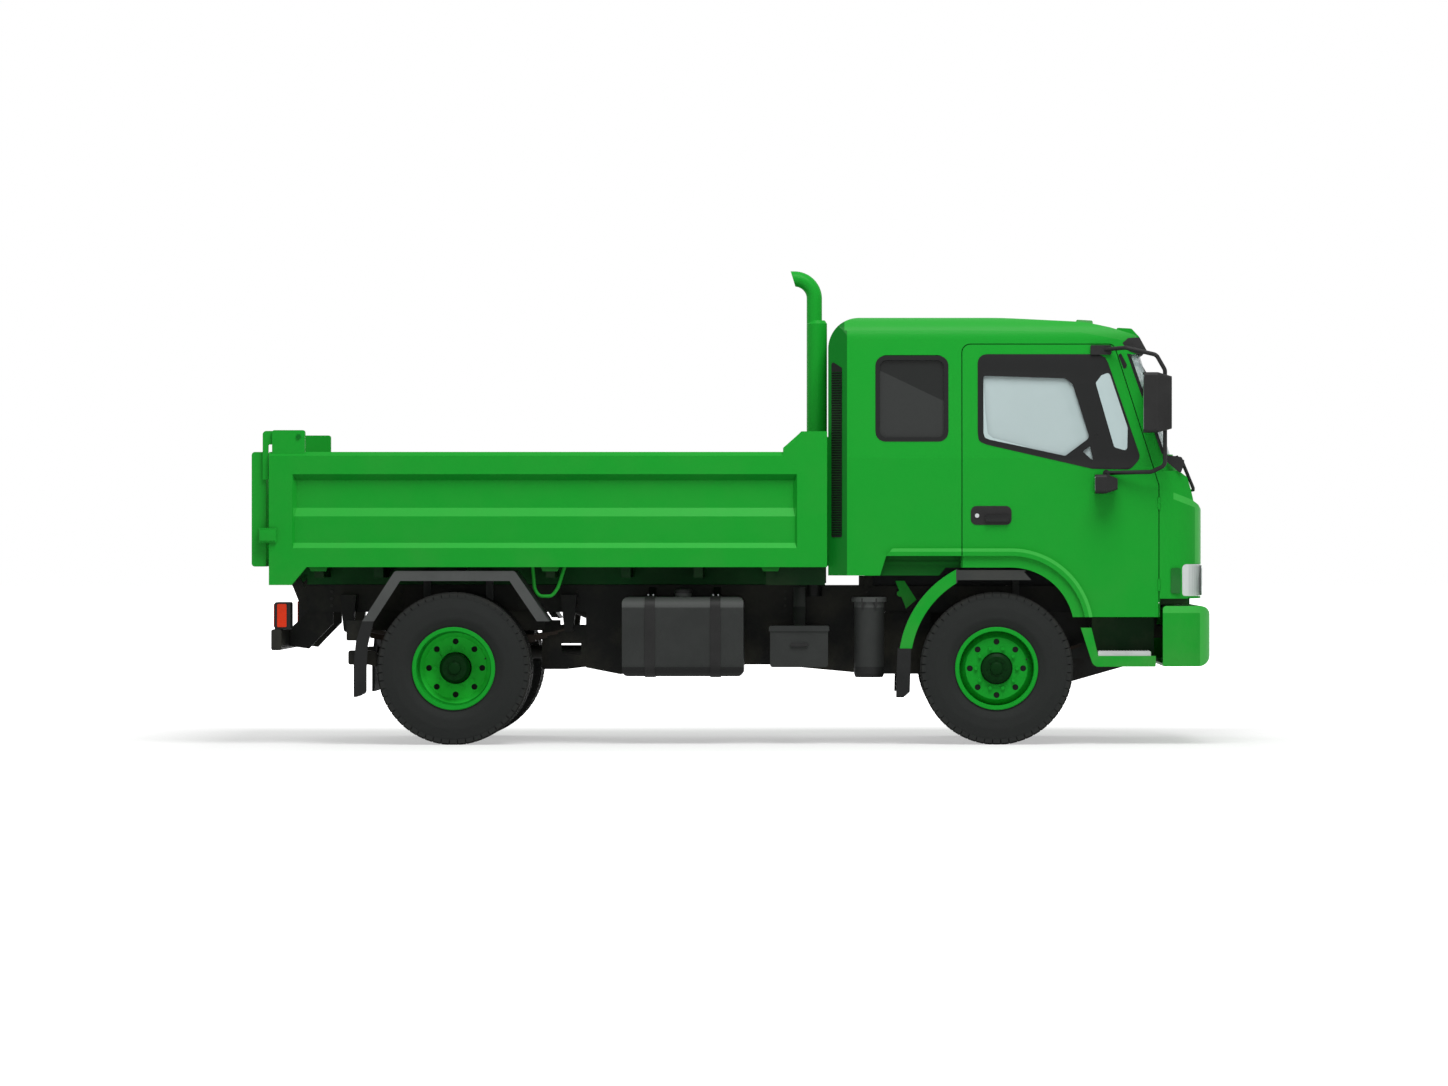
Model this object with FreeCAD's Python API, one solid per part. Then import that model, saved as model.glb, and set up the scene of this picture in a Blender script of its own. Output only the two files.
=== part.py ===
"""A two-axle cab-over dump truck with an extended cab, in millimetres.

+X is forward, +Y is the truck's left and +Z is up. The origin is on the ground, at the middle of the
truck's length and width. Places along the truck are given from the front axle (cab, bumper, front wheels)
or from the rear end (bed, tailgate, rear of the frame), and shapes are made for the left side and mirrored.
"""

import FreeCAD, Part
import math
import os

V = FreeCAD.Vector

# Driving dimensions
overall_length = 6358.0
wheelbase = 3600.0
front_overhang = 1419.0  # bumper's face to the front axle

tyre_radius = 505.0
tyre_width = 255.0
rim_radius = 256.0  # bead seat
lip_radius = 275.5
rim_width = 194.0
dual_spacing = 292.0
front_wheel_y = 950.0
kingpin_offset = 150.0  # kingpin to the wheel's middle plane
kingpin_radius = 22.0
spindle_radius = 32.0
rear_spindle_radius = 48.0
shaft_fit = 0.06  # radial clearance of a pin or shaft in its bore
seat_gap = 0.4  # between a piece and the curved skin it sits against

frame_width = 860.0
rail_top = 1050.0
rail_height = 177.0
rail_flange = 75.0
rail_web = 8.0

bed_width = 2300.0
bed_bottom = 1178.0
bed_top = 1941.0
bed_floor_thickness = 50.0
bed_wall = 80.0  # at the proud lower field
headboard_top = 2077.0
headboard_thickness = 50.0
subframe_height = 119.0
bed_pin_radius = 25.0

cab_width = 2240.0
cab_roof = 2836.0
cab_wall = 50.0
corner_length, corner_width = 126.0, 56.0  # of the cab's rear corners
door_gap = 6.0
glass_depth = 18.0  # skin to the face of a pane
glass_thickness = 8.0

stack_top = 3160.0
stack_radius = 51.5

# Places worked out from them
front_end = overall_length / 2
rear_end = -overall_length / 2
front_axle_x = front_end - front_overhang
rear_axle_x = front_axle_x - wheelbase
axle_z = tyre_radius
rail_bottom = rail_top - rail_height
rail_y = frame_width / 2
rail_inner_y = rail_y - rail_flange
kingpin_y = front_wheel_y - kingpin_offset
rear_outer_y = bed_width / 2 - 20 - tyre_width / 2
rear_inner_y = rear_outer_y - dual_spacing
twin_y = (rear_outer_y + rear_inner_y) / 2  # where the two discs meet
bed_y = bed_width / 2
bed_inner_y = bed_y - bed_wall
cab_y = cab_width / 2
cab_back = front_axle_x - 1118
bed_front = cab_back - 6
bed_rear = rear_end + 119
headboard_front = bed_front - 176
bed_pin_x, bed_pin_z = rear_end + 208, bed_bottom - 66
gate_pin_x, gate_pin_z = rear_end + 314, bed_top + 100
subframe_bottom = bed_bottom - subframe_height
rail_rear = rear_end + 311
rail_front = front_axle_x + 1090
cab_pin_x, cab_pin_z = front_axle_x + 1275, rail_top - 10
floor_z = 1190.0
floor_thickness = 25.0


def outline(corners, place):
    """A closed wire through (a, b, radius) corners. A corner with a radius is rounded by an arc."""
    ends = []
    for i, corner in enumerate(corners):
        before, after = corners[i - 1], corners[(i + 1) % len(corners)]
        p = V(corner[0], corner[1], 0)
        u = (V(before[0], before[1], 0) - p).normalize()
        w = (V(after[0], after[1], 0) - p).normalize()
        radius = corner[2] if len(corner) > 2 else 0
        if radius:
            half = u.getAngle(w) / 2
            middle = (u + w).normalize()
            arc_middle = p + middle * (radius / math.sin(half) - radius)
            run = radius / math.tan(half)
            ends.append((p + u * run, arc_middle, p + w * run))
        else:
            ends.append((p,))
    edges = []
    for i, here in enumerate(ends):
        there = ends[(i + 1) % len(ends)]
        if len(here) == 3:
            edges.append(Part.Arc(*(place(q) for q in here)).toShape())
        if (there[0] - here[-1]).Length > 0.02:
            edges.append(Part.LineSegment(place(here[-1]), place(there[0])).toShape())
        elif len(there) == 3:
            ends[(i + 1) % len(ends)] = (here[-1],) + there[1:]
    return Part.Wire(edges)


def inset(corners, depth):
    """The outline's corners moved inwards by depth, with each radius made smaller to suit."""
    area = sum(
        a[0] * b[1] - b[0] * a[1] for a, b in zip(corners, corners[1:] + corners[:1])
    )
    side = 1 if area > 0 else -1
    lines = []
    for a, b in zip(corners, corners[1:] + corners[:1]):
        way = V(b[0] - a[0], b[1] - a[1], 0).normalize()
        inward = V(-way.y, way.x, 0) * side
        lines.append((V(a[0], a[1], 0) + inward * depth, way))
    moved = []
    for i, corner in enumerate(corners):
        (p, u), (q, w) = lines[i - 1], lines[i]
        cross = u.x * w.y - u.y * w.x
        along = ((q.x - p.x) * w.y - (q.y - p.y) * w.x) / cross
        radius = corner[2] if len(corner) > 2 else 0
        change = -depth if cross * side > 0 else depth
        moved.append((p.x + u.x * along, p.y + u.y * along, max(radius + change, 0) if radius else 0))
    return moved


PLACES = {
    "xz": (lambda level: lambda q: V(q.x, level, q.y), V(0, 1, 0)),
    "yz": (lambda level: lambda q: V(level, q.x, q.y), V(1, 0, 0)),
    "xy": (lambda level: lambda q: V(q.x, q.y, level), V(0, 0, 1)),
}


def prism(plane, corners, low, high, shear=None):
    """A rounded outline in the named plane, extruded from low to high along the plane's normal."""
    place, normal = PLACES[plane]
    face = Part.Face(outline(corners, place(low)))
    return face.extrude(shear if shear else normal * (high - low))


def box(x0, x1, y0, y1, z0, z1):
    return Part.makeBox(x1 - x0, y1 - y0, z1 - z0, V(x0, y0, z0))


def rod(start, end, radius):
    """A cylinder between two points."""
    way = V(*end) - V(*start)
    return Part.makeCylinder(radius, way.Length, V(*start), way)


def turned(corners, centre, axis):
    """A solid of revolution from (along, radius, rounding) corners, about the axis through centre."""
    axis = V(*axis)
    across = V(1, 0, 0) if abs(axis.x) < 0.5 else V(0, 0, 1)
    across = (across - axis * across.dot(axis)).normalize()
    face = Part.Face(outline(corners, lambda q: V(*centre) + axis * q.x + across * q.y))
    return face.revolve(V(*centre), axis, 360)


def tube(points, radius, bend):
    """A round bar along straight runs joined by arcs of one bend radius."""
    points = [V(*p) for p in points]
    edges = []
    start = points[0]
    for before, p, after in zip(points, points[1:], points[2:]):
        u, w = (before - p).normalize(), (after - p).normalize()
        half = u.getAngle(w) / 2
        run = bend / math.tan(half)
        middle = (u + w).normalize()
        first, last = p + u * run, p + w * run
        edges.append(Part.LineSegment(start, first).toShape())
        edges.append(Part.Arc(first, p + middle * (bend / math.sin(half) - bend), last).toShape())
        start = last
    edges.append(Part.LineSegment(start, points[-1]).toShape())
    circle = Part.Wire(Part.makeCircle(radius, points[0], points[1] - points[0]))
    return Part.Wire(edges).makePipeShell([circle], True, True)


def fused(*shapes):
    return shapes[0].multiFuse(list(shapes[1:])).removeSplitter()


def mirrored(shape):
    return shape.mirror(V(0, 0, 0), V(0, 1, 0))


def both(shape):
    """The shape and its copy on the other side."""
    return [shape, mirrored(shape)]


def shifted(corners, x):
    return [(corner[0] + x,) + tuple(corner[1:]) for corner in corners]


def from_axle(corners):
    return shifted(corners, front_axle_x)


def from_rear(corners):
    return shifted(corners, rear_end)


def save(name, *shapes):
    """Writes the shapes' solids as one node."""
    solids = [solid for shape in shapes for solid in shape.Solids]
    for solid in solids:
        if not solid.isValid() or solid.Volume <= 0:
            raise ValueError(f"{name} has a bad solid")
    whole = solids[0] if len(solids) == 1 else Part.makeCompound(solids)
    whole.exportStep(f"parts/{name}.step")
    print(f"{name}: {len(solids)} solids, {whole.Volume / 1e9:.4f} m3")


# Chassis


CROSS_MEMBERS = (
    # x, bottom z, top z, length along x
    (rail_rear + 40, rail_bottom + 20, rail_top - 20, 60),
    (rear_axle_x - 470, rail_bottom + 20, rail_top - 20, 60),
    (rear_axle_x + 210, rail_bottom + 20, rail_top - 20, 60),
    (front_axle_x - 1610, rail_bottom + 20, rail_top - 20, 60),
    (front_axle_x - 860, rail_bottom + 20, rail_top - 20, 60),
    (rail_front - 60, rail_bottom + 20, rail_top - 20, 60),
)

spring_width = 75.0
spring_eye_radius = 32.0
spring_pin_radius = 15.0
front_spring_y = rail_y - spring_width / 2
rear_spring_y = rail_y + 75
SPRINGS = (
    # axle x, y, seat z, leaf count, leaf thickness, half length, rise of the eye above the seat
    (front_axle_x, front_spring_y, axle_z - 5, 6, 11.0, 680.0, 216.0),
    (rear_axle_x, rear_spring_y, axle_z + 85, 8, 12.0, 740.0, 190.0),
)

lift_pin_x, lift_pin_z = bed_pin_x + 2271, 780.0
lift_eye_x, lift_eye_z = bed_pin_x + 1500, bed_pin_z - 10
lift_pin_radius = 20.0


def spring_eyes(axle_x, y, seat_z, leaves, thickness, half_length, rise):
    """The two eye centres of a leaf spring, as (x, z)."""
    return [(axle_x + side * half_length, seat_z + rise) for side in (-1, 1)]


def spring_hangers(spring):
    """A fork round each eye of a spring, with the eye's pin, reaching up to the rail."""
    y = spring[1]
    half = spring_width / 2 + 1
    plate = 11
    inner, outer = y - half - plate, y + half + plate
    top = rail_top - 60 if inner > rail_y else rail_bottom
    parts = []
    for x, z in spring_eyes(*spring):
        low = z - spring_eye_radius - 8
        inside = rail_y if inner > rail_y else inner
        block = prism("xz", [(x - 28, low, 20), (x + 28, low, 20), (x + 55, top), (x - 55, top)], inside, outer)
        slot = box(x - 80, x + 80, y - half, y + half, low - 10, z + spring_eye_radius + 12)
        pin = rod((x, inner, z), (x, outer, z), spring_pin_radius)
        parts.append(fused(block.cut(slot), pin))
    return parts


def chassis_frame():
    web = rail_y - rail_web
    lip = rail_web
    channel = [
        (rail_y, rail_bottom),
        (rail_y, rail_top),
        (rail_inner_y, rail_top),
        (rail_inner_y, rail_top - lip),
        (web, rail_top - lip),
        (web, rail_bottom + lip),
        (rail_inner_y, rail_bottom + lip),
        (rail_inner_y, rail_bottom),
    ]
    parts = both(prism("yz", channel, rail_rear, rail_front))
    for x, low, high, length in CROSS_MEMBERS:
        outer = box(x - length / 2, x + length / 2, -web, web, low, high)
        parts.append(outer)
    # the tipping cylinder's cross member and the two ears of its pin
    ear_y = 45
    support = box(lift_pin_x + 80, lift_pin_x + 160, -web, web, lift_pin_z - 60, rail_top - 15)
    parts.append(support)
    ear = prism(
        "xz",
        [
            (lift_pin_x + 100, lift_pin_z - 55),
            (lift_pin_x + 100, lift_pin_z + 60),
            (lift_pin_x + 10, lift_pin_z + 44),
            (lift_pin_x + 10, lift_pin_z - 44),
        ],
        ear_y,
        ear_y + 20,
    )
    boss = rod((lift_pin_x, ear_y, lift_pin_z), (lift_pin_x, ear_y + 20, lift_pin_z), 45)
    parts += both(ear) + both(boss)
    parts.append(rod((lift_pin_x, -ear_y - 30, lift_pin_z), (lift_pin_x, ear_y + 30, lift_pin_z), lift_pin_radius))
    for spring in SPRINGS:
        for hanger in spring_hangers(spring):
            parts += both(hanger)
    # brackets that carry the bed's tipping pin behind the rails
    bracket = fused(
        prism(
            "xz",
            [
                (rail_rear + 100, rail_bottom + 12),
                (rail_rear + 100, rail_top - 10),
                (rail_rear - 12, rail_top - 10),
                (bed_pin_x + 40, bed_pin_z + 20),
                (bed_pin_x - 44, bed_pin_z - 10),
                (bed_pin_x, bed_pin_z - 45),
                (rail_rear - 30, rail_bottom + 12),
            ],
            rail_inner_y + 7,
            web,
        ),
        rod((bed_pin_x, rail_inner_y + 7, bed_pin_z), (bed_pin_x, web, bed_pin_z), 45),
    )
    parts += both(bracket)
    # brackets that carry the cab's tilting pins ahead of the rails
    cab_bracket = fused(
        prism(
            "xz",
            [
                (rail_front - 100, rail_bottom + 12),
                (rail_front - 100, rail_top - 10),
                (rail_front, rail_top - 10),
                (cab_pin_x + 5, cab_pin_z + 24),
                (cab_pin_x + 5, cab_pin_z - 24),
                (rail_front + 2, rail_bottom + 58),
                (rail_front + 2, rail_bottom + 12),
            ],
            rail_y - 30,
            web,
        ),
        rod((cab_pin_x, rail_y - 30, cab_pin_z), (cab_pin_x, web, cab_pin_z), 25),
    )
    parts += both(cab_bracket)
    # posts under the back of the cab, and arms that hold the bumper
    post = box(cab_back + 205, cab_back + 265, rail_inner_y, rail_y - 10, rail_top, floor_z - 76)
    packing = box(rail_rear + 80, headboard_front, rail_inner_y, rail_y, rail_top - 1, rail_top + 4)
    bumper_arm = box(rail_front - 60, front_end - 20, rail_y - 50, rail_y - 10, 700, 780)
    bumper_drop = box(rail_front - 60, rail_front, rail_y - 50, rail_y - 10, 700, rail_bottom + 5)
    parts += both(post) + both(packing) + both(bumper_arm) + both(bumper_drop)
    frame = fused(*parts)
    for sign in (-1, 1):
        bed_hole = rod((bed_pin_x, sign * 300, bed_pin_z), (bed_pin_x, sign * 480, bed_pin_z), bed_pin_radius + shaft_fit)
        cab_hole = rod((cab_pin_x, sign * 380, cab_pin_z), (cab_pin_x, sign * 440, cab_pin_z), 15 + shaft_fit)
        frame = frame.cut(bed_hole).cut(cab_hole)
    save("chassis_frame", frame)


def leaf_springs():
    """Each spring is a pack of leaves, the longest on top with an eye at both ends."""
    packs = []
    for axle_x, y, seat_z, leaves, thickness, half_length, rise in SPRINGS:
        top_z = seat_z + leaves * thickness
        eye_z = seat_z + rise
        low, high = y - spring_width / 2, y + spring_width / 2
        # the leaves lie on concentric arcs; the main leaf's lower face runs under the eyes
        sag = eye_z - spring_eye_radius + thickness / 2 - (top_z - thickness)
        radius = (half_length**2 + sag**2) / (2 * sag)
        centre_z = top_z - thickness + radius
        parts = []
        for leaf in range(leaves):
            reach = half_length * (1 - 0.8 * leaf / leaves)
            outer = radius + thickness * leaf
            ring = rod((axle_x, low, centre_z), (axle_x, high, centre_z), outer)
            ring = ring.cut(rod((axle_x, low, centre_z), (axle_x, high, centre_z), outer - thickness))
            parts.append(ring.common(box(axle_x - reach, axle_x + reach, low, high, 0, centre_z)))
        for x in (axle_x - half_length, axle_x + half_length):
            parts.append(rod((x, low, eye_z), (x, high, eye_z), spring_eye_radius))
        seat = box(axle_x - 55, axle_x + 55, low, high, seat_z, seat_z + thickness * leaves / 2)
        pack = fused(*parts, seat)
        for x in (axle_x - half_length, axle_x + half_length):
            pack = pack.cut(rod((x, low - 1, eye_z), (x, high + 1, eye_z), spring_pin_radius + shaft_fit))
        packs += both(pack)
    save("leaf_springs", *packs)


def front_axle():
    fist_half, fist_radius = 55.0, 40.0
    seat_z = SPRINGS[0][2]
    beam = prism(
        "yz",
        [
            (-kingpin_y, axle_z - 45),
            (-kingpin_y + 60, axle_z - 45, 60),
            (-kingpin_y + 160, axle_z - 110, 60),
            (kingpin_y - 160, axle_z - 110, 60),
            (kingpin_y - 60, axle_z - 45, 60),
            (kingpin_y, axle_z - 45),
            (kingpin_y, axle_z + 45),
            (kingpin_y - 80, axle_z + 45, 60),
            (kingpin_y - 180, axle_z - 20, 60),
            (180 - kingpin_y, axle_z - 20, 60),
            (80 - kingpin_y, axle_z + 45, 60),
            (-kingpin_y, axle_z + 45),
        ],
        front_axle_x - 38,
        front_axle_x + 38,
    )
    parts = [beam]
    for sign in (-1, 1):
        y = sign * kingpin_y
        parts.append(rod((front_axle_x, y, axle_z - fist_half), (front_axle_x, y, axle_z + fist_half), fist_radius))
        parts.append(rod((front_axle_x, y, axle_z - 105), (front_axle_x, y, axle_z + 105), kingpin_radius))
        seat_y = sign * front_spring_y
        parts.append(
            box(front_axle_x - 60, front_axle_x + 60, seat_y - 40, seat_y + 40, axle_z - 30, seat_z)
        )
    axle = fused(*parts)
    # the beam's I section
    for side in (-1, 1):
        face = front_axle_x + side * 38
        pocket = box(min(face, face - side * 24), max(face, face - side * 24), -560, 560, axle_z - 92, axle_z - 38)
        axle = axle.cut(pocket)
    save("front_axle", axle)


def rear_axle():
    housing = turned(
        [(-160, 0), (-160, 70), (-120, 150, 40), (0, 195, 120), (110, 150, 40), (150, 95), (150, 0)],
        (rear_axle_x, 0, axle_z),
        (1, 0, 0),
    )
    nose_z = axle_z + 95
    parts = [housing, rod((rear_axle_x + 60, 0, nose_z), (rear_axle_x + 240, 0, nose_z), 75)]
    backing_y = twin_y - 214
    tube_end = backing_y + 10
    parts.append(rod((rear_axle_x, -tube_end, axle_z), (rear_axle_x, tube_end, axle_z), 65))
    parts.append(rod((rear_axle_x, -twin_y - 150, axle_z), (rear_axle_x, twin_y + 150, axle_z), rear_spindle_radius))
    seat_z = SPRINGS[1][2]
    for sign in (-1, 1):
        parts.append(
            rod((rear_axle_x, sign * backing_y, axle_z), (rear_axle_x, sign * (backing_y + 10), axle_z), 178)
        )
        y = sign * rear_spring_y
        parts.append(box(rear_axle_x - 55, rear_axle_x + 55, y - 36, y + 36, axle_z, seat_z))
    save("rear_axle", fused(*parts))


def knuckles():
    """The stub axles. Each turns on its kingpin and carries one front wheel."""
    lug_gap, lug_height, lug_radius = 3.0, 36.0, 42.0
    plate_y = front_wheel_y - 104
    fist_half = 55.0
    arm_x = front_axle_x - 200
    web = box(front_axle_x - 40, front_axle_x + 40, kingpin_y + 43, plate_y + 2, axle_z - 94, axle_z + 94)
    plate = rod((front_axle_x, plate_y, axle_z), (front_axle_x, plate_y + 8, axle_z), 165)
    stub = rod((front_axle_x, plate_y, axle_z), (front_axle_x, front_wheel_y + 60, axle_z), spindle_radius)
    parts = [web, plate, stub]
    for side in (-1, 1):
        low = axle_z + side * (fist_half + lug_gap)
        high = low + side * lug_height
        z0, z1 = min(low, high), max(low, high)
        parts.append(rod((front_axle_x, kingpin_y, z0), (front_axle_x, kingpin_y, z1), lug_radius))
        parts.append(box(front_axle_x - 40, front_axle_x + 40, kingpin_y, plate_y, z0, z1))
    arm_z = axle_z - fist_half - lug_gap - lug_height
    arm = box(arm_x, front_axle_x - 20, kingpin_y - 14, kingpin_y + 14, arm_z, arm_z + 24)
    arm_end = rod((arm_x, kingpin_y, arm_z), (arm_x, kingpin_y, arm_z + 24), 24)
    knuckle = fused(*parts, arm, arm_end)
    bore = rod((front_axle_x, kingpin_y, axle_z - 120), (front_axle_x, kingpin_y, axle_z + 120), kingpin_radius + shaft_fit)
    ball = rod((arm_x, kingpin_y, arm_z - 5), (arm_x, kingpin_y, arm_z + 40), 9 + shaft_fit)
    knuckle = knuckle.cut(bore).cut(ball)
    save("left_knuckle", knuckle)
    save("right_knuckle", mirrored(knuckle))
    # the tie rod hangs under the two arms on its pins
    rod_z = arm_z - 22
    bar = rod((arm_x, -kingpin_y + 10, rod_z), (arm_x, kingpin_y - 10, rod_z), 15)
    ends = [
        fused(
            rod((arm_x, y, rod_z - 17), (arm_x, y, rod_z + 17), 22),
            rod((arm_x, y, rod_z), (arm_x, y, arm_z + 22), 9),
        )
        for y in (-kingpin_y, kingpin_y)
    ]
    save("tie_rod", fused(bar, *ends))


def tyre(x, y):
    half = tyre_width / 2
    bead = rim_width / 2
    profile = [
        (-bead, rim_radius),
        (bead, rim_radius),
        (bead, lip_radius + 4),
        (half - 4, lip_radius + 55, 60),
        (half, tyre_radius - 105, 80),
        (half - 10, tyre_radius - 35, 30),
        (half - 34, tyre_radius, 14),
        (34 - half, tyre_radius, 14),
        (10 - half, tyre_radius - 35, 30),
        (-half, tyre_radius - 105, 80),
        (4 - half, lip_radius + 55, 60),
        (-bead, lip_radius + 4),
    ]
    return turned(profile, (x, y, axle_z), (0, 1, 0))


disc_thickness = 12.0
disc_bore = 108.0
disc_radius = 206.0
hand_hole_radius = 20.0
hand_hole_circle = 177.0
hub_radius = 100.0


def rim(x, y, face, way):
    """A rim and its disc. face is the disc's outboard face from the rim's middle, and way the side it stands to."""
    bead, lip = rim_width / 2, 12.0
    inner = rim_radius - 10
    barrel = turned(
        [
            (-bead - lip, inner + 4),
            (-bead, inner),
            (bead, inner),
            (bead + lip, inner + 4),
            (bead + lip, lip_radius, 5),
            (bead, lip_radius),
            (bead, rim_radius),
            (-bead, rim_radius),
            (-bead, lip_radius),
            (-bead - lip, lip_radius, 5),
        ],
        (x, y, axle_z),
        (0, 1, 0),
    )
    root = face - way * 62
    disc = turned(
        [
            (face - disc_thickness, disc_bore),
            (face, disc_bore),
            (face, disc_radius),
            (root + disc_thickness / 2, inner + 5),
            (root - disc_thickness / 2, inner + 5),
            (face - disc_thickness, disc_radius - 6),
        ],
        (x, y, axle_z),
        (0, 1, 0),
    )
    for hole in range(8):
        angle = math.radians(45 * hole)
        hx, hz = x + hand_hole_circle * math.sin(angle), axle_z + hand_hole_circle * math.cos(angle)
        disc = disc.cut(rod((hx, y + face - 40, hz), (hx, y + face + 30, hz), hand_hole_radius))
    return fused(barrel, disc)


def wheels():
    face = 60.0
    hub = turned(
        [
            (-88, 172),
            (-88, 190),
            (face - disc_thickness - 20, 190),
            (face - disc_thickness, 170, 10),
            (face - disc_thickness, hub_radius),
            (face + 30, hub_radius, 8),
            (face + 42, hub_radius - 22, 6),
            (face + 42, 0),
            (62, 0),
            (62, spindle_radius + shaft_fit),
            (-14, spindle_radius + shaft_fit),
            (-14, 172),
        ],
        (front_axle_x, front_wheel_y, axle_z),
        (0, 1, 0),
    )
    front_wheel = fused(rim(front_axle_x, front_wheel_y, face, 1), hub)
    front_tyre = tyre(front_axle_x, front_wheel_y)
    for side, turn in (("left", lambda s: s), ("right", mirrored)):
        save(f"front_{side}_tyre", turn(front_tyre))
        save(f"front_{side}_wheel", turn(front_wheel))

    inner = rim(rear_axle_x, rear_inner_y, twin_y - rear_inner_y, 1)
    outer = rim(rear_axle_x, rear_outer_y, twin_y - rear_outer_y + disc_thickness, -1)
    hub = turned(
        [
            (-208, 184),
            (-208, 204),
            (-disc_thickness - 20, 204, 6),
            (-disc_thickness, 180),
            (-disc_thickness, hub_radius),
            (145, hub_radius, 8),
            (160, hub_radius - 20, 6),
            (160, 0),
            (151, 0),
            (151, rear_spindle_radius + 1.5 * shaft_fit),
            (-60, rear_spindle_radius + 1.5 * shaft_fit),
            (-60, 184),
        ],
        (rear_axle_x, twin_y, axle_z),
        (0, 1, 0),
    )
    rear_wheels = fused(inner, outer, hub)
    rear_tyres = [tyre(rear_axle_x, rear_inner_y), tyre(rear_axle_x, rear_outer_y)]
    for side, turn in (("left", lambda s: s), ("right", mirrored)):
        save(f"rear_{side}_tyres", *(turn(t) for t in rear_tyres))
        save(f"rear_{side}_wheels", turn(rear_wheels))


def drive_line():
    """The engine with its gearbox as one plain block, and the shaft to the rear axle."""
    shaft_z = axle_z + 95
    engine_x = front_axle_x + 90
    block = box(engine_x, engine_x + 790, -330, 330, 560, floor_z - 80)
    sump = prism(
        "xz",
        [
            (engine_x + 10, 565),
            (engine_x + 30, 400, 30),
            (front_axle_x + 507, 397),
            (front_axle_x + 938, 520),
            (engine_x + 780, 565),
        ],
        -200,
        200,
    )
    gearbox = box(front_axle_x - 640, engine_x, -210, 210, 560, 960)
    output = rod((front_axle_x - 660, 0, shaft_z), (front_axle_x - 640, 0, shaft_z), 75)
    mounts = []
    for x, inner in ((engine_x + 150, 325), (engine_x + 600, 325), (front_axle_x - 440, 205)):
        mounts += both(box(x, x + 70, inner, rail_y - rail_web, rail_bottom + 30, rail_bottom + 90))
    save("engine", fused(block, sump, gearbox, output, *mounts))
    rear, front = rear_axle_x + 240, front_axle_x - 660
    shaft = turned(
        [
            (0, 0),
            (0, 75),
            (22, 75),
            (60, 45, 20),
            (front - rear - 60, 45, 20),
            (front - rear - 22, 75),
            (front - rear, 75),
            (front - rear, 0),
        ],
        (rear, 0, shaft_z),
        (1, 0, 0),
    )
    save("propeller_shaft", shaft)


tank_rear, tank_length = front_axle_x - 2485, 805.0
tank_bottom, tank_top = 452.0, 979.0
tank_inner_y, tank_outer_y = 560.0, 1090.0


def fuel_tank():
    """The tank stands on the truck's right side, held to the rail by two straps."""
    section = [
        (-tank_outer_y, tank_bottom, 80),
        (-tank_inner_y, tank_bottom, 80),
        (-tank_inner_y, tank_top, 80),
        (-tank_outer_y, tank_top, 80),
    ]
    front = tank_rear + tank_length
    side = [(tank_rear, tank_bottom, 40), (front, tank_bottom, 40), (front, tank_top, 40), (tank_rear, tank_top, 40)]
    tank = prism("yz", section, tank_rear, front).common(
        prism("xz", side, -tank_outer_y, -tank_inner_y)
    )
    cap_x, cap_y = tank_rear + 402, -tank_outer_y + 180
    cap = rod((cap_x, cap_y, tank_top - 5), (cap_x, cap_y, tank_top + 40), 56)
    save("fuel_tank", fused(tank, cap))
    brackets = []
    for x in (tank_rear + 151, tank_rear + 585):
        strap = prism("yz", inset(section, -6), x, x + 68).cut(prism("yz", inset(section, -seat_gap), x, x + 68))
        arm = prism(
            "yz",
            [
                (-rail_y, rail_top - 8),
                (-rail_y, rail_bottom + 10),
                (-tank_inner_y + 6, tank_bottom + 130),
                (-tank_inner_y + 6, tank_top - 60),
            ],
            x + 10,
            x + 58,
        )
        brackets.append(fused(strap, arm))
    save("fuel_tank_brackets", *brackets)


def side_equipment():
    """Battery box and air cleaner on the right, air reservoirs on the left."""
    x0, x1 = front_axle_x - 1503, front_axle_x - 1119
    tub = prism(
        "xz", [(x0, 513, 18), (x1, 513, 18), (x1, 760, 6), (x0, 760, 6)], -1050, -650
    )
    lid = prism(
        "xz", [(x0 - 8, 752, 4), (x1 + 8, 752, 4), (x1 + 8, 787, 14), (x0 - 8, 787, 14)], -1058, -642
    )
    hanger = prism(
        "yz",
        [(-rail_y, rail_top - 10), (-rail_y, rail_bottom + 10), (-655, 640), (-655, 750)],
        x0 + 150,
        x0 + 230,
    )
    save("battery_box", fused(tub, lid, hanger))

    cx, cy = front_axle_x - 846, -930
    canister = turned(
        [(445, 0), (445, 92, 12), (470, 100), (946, 100), (946, 116), (979, 116, 8), (979, 0)],
        (cx, cy, 0),
        (0, 0, 1),
    )
    arm = box(cx - 30, cx + 30, cy + 60, -rail_y, rail_bottom + 25, rail_bottom + 65)
    save("air_cleaner", fused(canister, arm))

    start, length, radius = tank_rear + 150, 700.0, 130.0
    end = start + length
    vessels = [
        turned(
            [(0, 0), (0, 40), (45, radius, 40), (length - 45, radius, 40), (length, 40), (length, 0)],
            (start, y, 720),
            (1, 0, 0),
        )
        for y in (600, 900)
    ]
    arms = [
        prism("yz", [(rail_y, rail_top - 10), (rail_y, 800), (1000, 800), (1000, 868), (540, 900)], x, x + 60)
        for x in (start + 100, end - 160)
    ]
    save("air_reservoirs", fused(*vessels, *arms))


def splash_plate():
    """A plate under the right rail, behind the tank and the battery box."""
    x = front_axle_x
    corners = [
        (x - 2749, rail_bottom),
        (x - 2749, 500),
        (x - 2520, 455),
        (x - 1683, 520),
        (x - 1507, 520),
        (x - 905, 464),
        (x - 740, 464),
        (x - 740, rail_bottom),
    ]
    save("splash_plate", prism("xz", corners, -rail_y, -rail_y + 4))


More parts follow.
